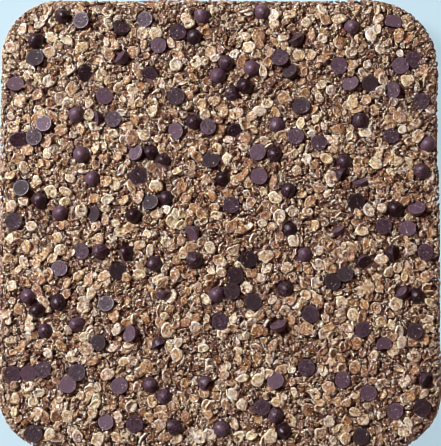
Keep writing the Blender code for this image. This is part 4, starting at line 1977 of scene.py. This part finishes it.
@dataclass
class OatLayer:
    """The oats over one face, kind after kind, from the lowest to the finest."""

    face: Face
    kinds: tuple[OatKind, ...]
    start: float  # height of the bed before anything lies on it
    seed: int
    margin: float = 4.0 * MM  # how much of the face's edge the logged bed height leaves out

    def __post_init__(self) -> None:
        """Prepares the bed."""
        self.bed = Bed(self.face, self.start, np.random.default_rng(self.seed))

    def build(self, shop: Workshop) -> list[bpy.types.Object]:
        """Lays and shapes every kind.

        Args:
            shop: The slab, the trees and the materials.

        Returns:
            The finished pieces.
        """
        built = []
        for kind in self.kinds:
            piece = shaped(kind.name, self.bed.lay(kind), shop.oats, kind.inputs(shop.oat_material))
            built.append(dressed(piece))
        shown = self.bed.height[self.bed.inset > self.margin]
        log.info("bed height %.2f mm on average, spread %.2f mm", shown.mean() / MM, shown.std() / MM)
        return built


@dataclass
class Studio:
    """A pale floor, soft window light from the upper left, and a camera that looks nearly straight down."""

    floor_size: float = 24.0
    floor: Paint = Paint("pale_floor", colour=(0.13, 0.15, 0.16), glow=(0.44, 0.60, 0.68),
                         bounce=(0.80, 0.74, 0.70))
    fill: Colour = (0.142, 0.058, 0.060)  # the even light from all round
    backdrop: Colour = (0.60, 0.73, 0.78)  # what the camera sees beyond the floor
    key_power: float = 21.8
    key_size: float = 0.35
    key_distance: float = 1.1
    key_direction: tuple[float, float] = (149.0, 42.0)  # degrees anticlockwise from +X, and up
    key_colour: Colour = (0.895, 0.94, 1.0)
    camera_distance: float = 0.5
    camera_tilt: float = math.radians(3.0)
    view_width: float = 0.2205  # how much of the top the image spans across
    aim: tuple[float, float] = (0.6 * MM, 0.0)
    nearest: float = 0.01  # the closest thing that the camera shows
    pixel_filter: float = 0.45  # how wide each sample spreads in the image

    def build(self) -> None:
        """Makes the floor, the light, the sky and the camera."""
        self._floor()
        self._light()
        self._sky()
        self._camera()
        settings = bpy.context.scene.view_settings
        settings.view_transform = "Standard"
        settings.look = "None"
        bpy.context.scene.cycles.filter_width = self.pixel_filter

    def _floor(self) -> None:
        """Lays a plain floor under the slab."""
        half = self.floor_size / 2
        mesh = bpy.data.meshes.new("floor")
        mesh.from_pydata([(-half, -half, 0.0), (half, -half, 0.0), (half, half, 0.0), (-half, half, 0.0)],
                         [], [(0, 1, 2, 3)])
        mesh.materials.append(self.floor.material())
        floor = bpy.data.objects.new("floor", mesh)
        bpy.context.scene.collection.objects.link(floor)

    def _light(self) -> None:
        """Hangs the window light, turned to the slab."""
        around, up = map(math.radians, self.key_direction)
        way = Vector((math.cos(around) * math.cos(up), math.sin(around) * math.cos(up), math.sin(up)))
        lamp = bpy.data.lights.new("window", "AREA")
        lamp.shape = "SQUARE"
        lamp.size = self.key_size
        lamp.energy = self.key_power
        lamp.color = self.key_colour
        light = bpy.data.objects.new("window", lamp)
        light.location = way * self.key_distance
        light.rotation_euler = way.to_track_quat("Z", "Y").to_euler()
        bpy.context.scene.collection.objects.link(light)

    def _sky(self) -> None:
        """Fills the room with even light, behind a pale backdrop."""
        world = bpy.data.worlds.new("room")
        world.use_nodes = True
        graph = Graph(world.node_tree)
        direct = graph.node("ShaderNodeLightPath", out="Is Camera Ray")
        graph.feed(world.node_tree.nodes["Background"], {
            "Color": graph.mixed_colour(direct, self.fill, self.backdrop)})
        bpy.context.scene.world = world

    def _camera(self) -> None:
        """Hangs the camera over the slab, leaning back a little from straight down."""
        top = cad_box[1][2]
        target = Vector((self.aim[0], self.aim[1], top))
        back = Vector((0.0, -math.sin(self.camera_tilt), math.cos(self.camera_tilt)))
        lens = bpy.data.cameras.new("camera")
        lens.sensor_fit = "HORIZONTAL"
        lens.lens = lens.sensor_width * self.camera_distance / self.view_width
        lens.clip_start = self.nearest
        camera = bpy.data.objects.new("camera", lens)
        camera.location = target + back * self.camera_distance
        camera.rotation_euler = (self.camera_tilt, 0.0, 0.0)
        bpy.context.scene.collection.objects.link(camera)
        bpy.context.scene.camera = camera


def main() -> None:
    """Builds the slab's looks from the inside out, then the studio."""
    logging.basicConfig(level=logging.INFO, format="%(message)s")
    effects = Effects()
    slab = Slab(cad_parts[SLAB])
    shop = Workshop(
        slab=slab, oats=oat_tree(), chips=chip_tree(),
        oat_material=OatFinish().material(effects),
        binder_material=BinderFinish().material(effects),
        chocolate_material=ChocolateFinish().material(effects),
    )
    Binder().build(shop)
    top = OatLayer(TopFace(slab), TOP_KINDS, start=-2.6 * MM, seed=11)
    wall = OatLayer(WallFace(slab), WALL_KINDS, start=-1.6 * MM, seed=23)
    base = OatLayer(BaseFace(slab), BASE_KINDS, start=-1.4 * MM, seed=37)
    Chips().build(shop, top.bed, wall.bed, base.bed)
    for layer in (top, wall, base):
        layer.build(shop)
    Studio().build()


if __name__ == "__main__":
    main()
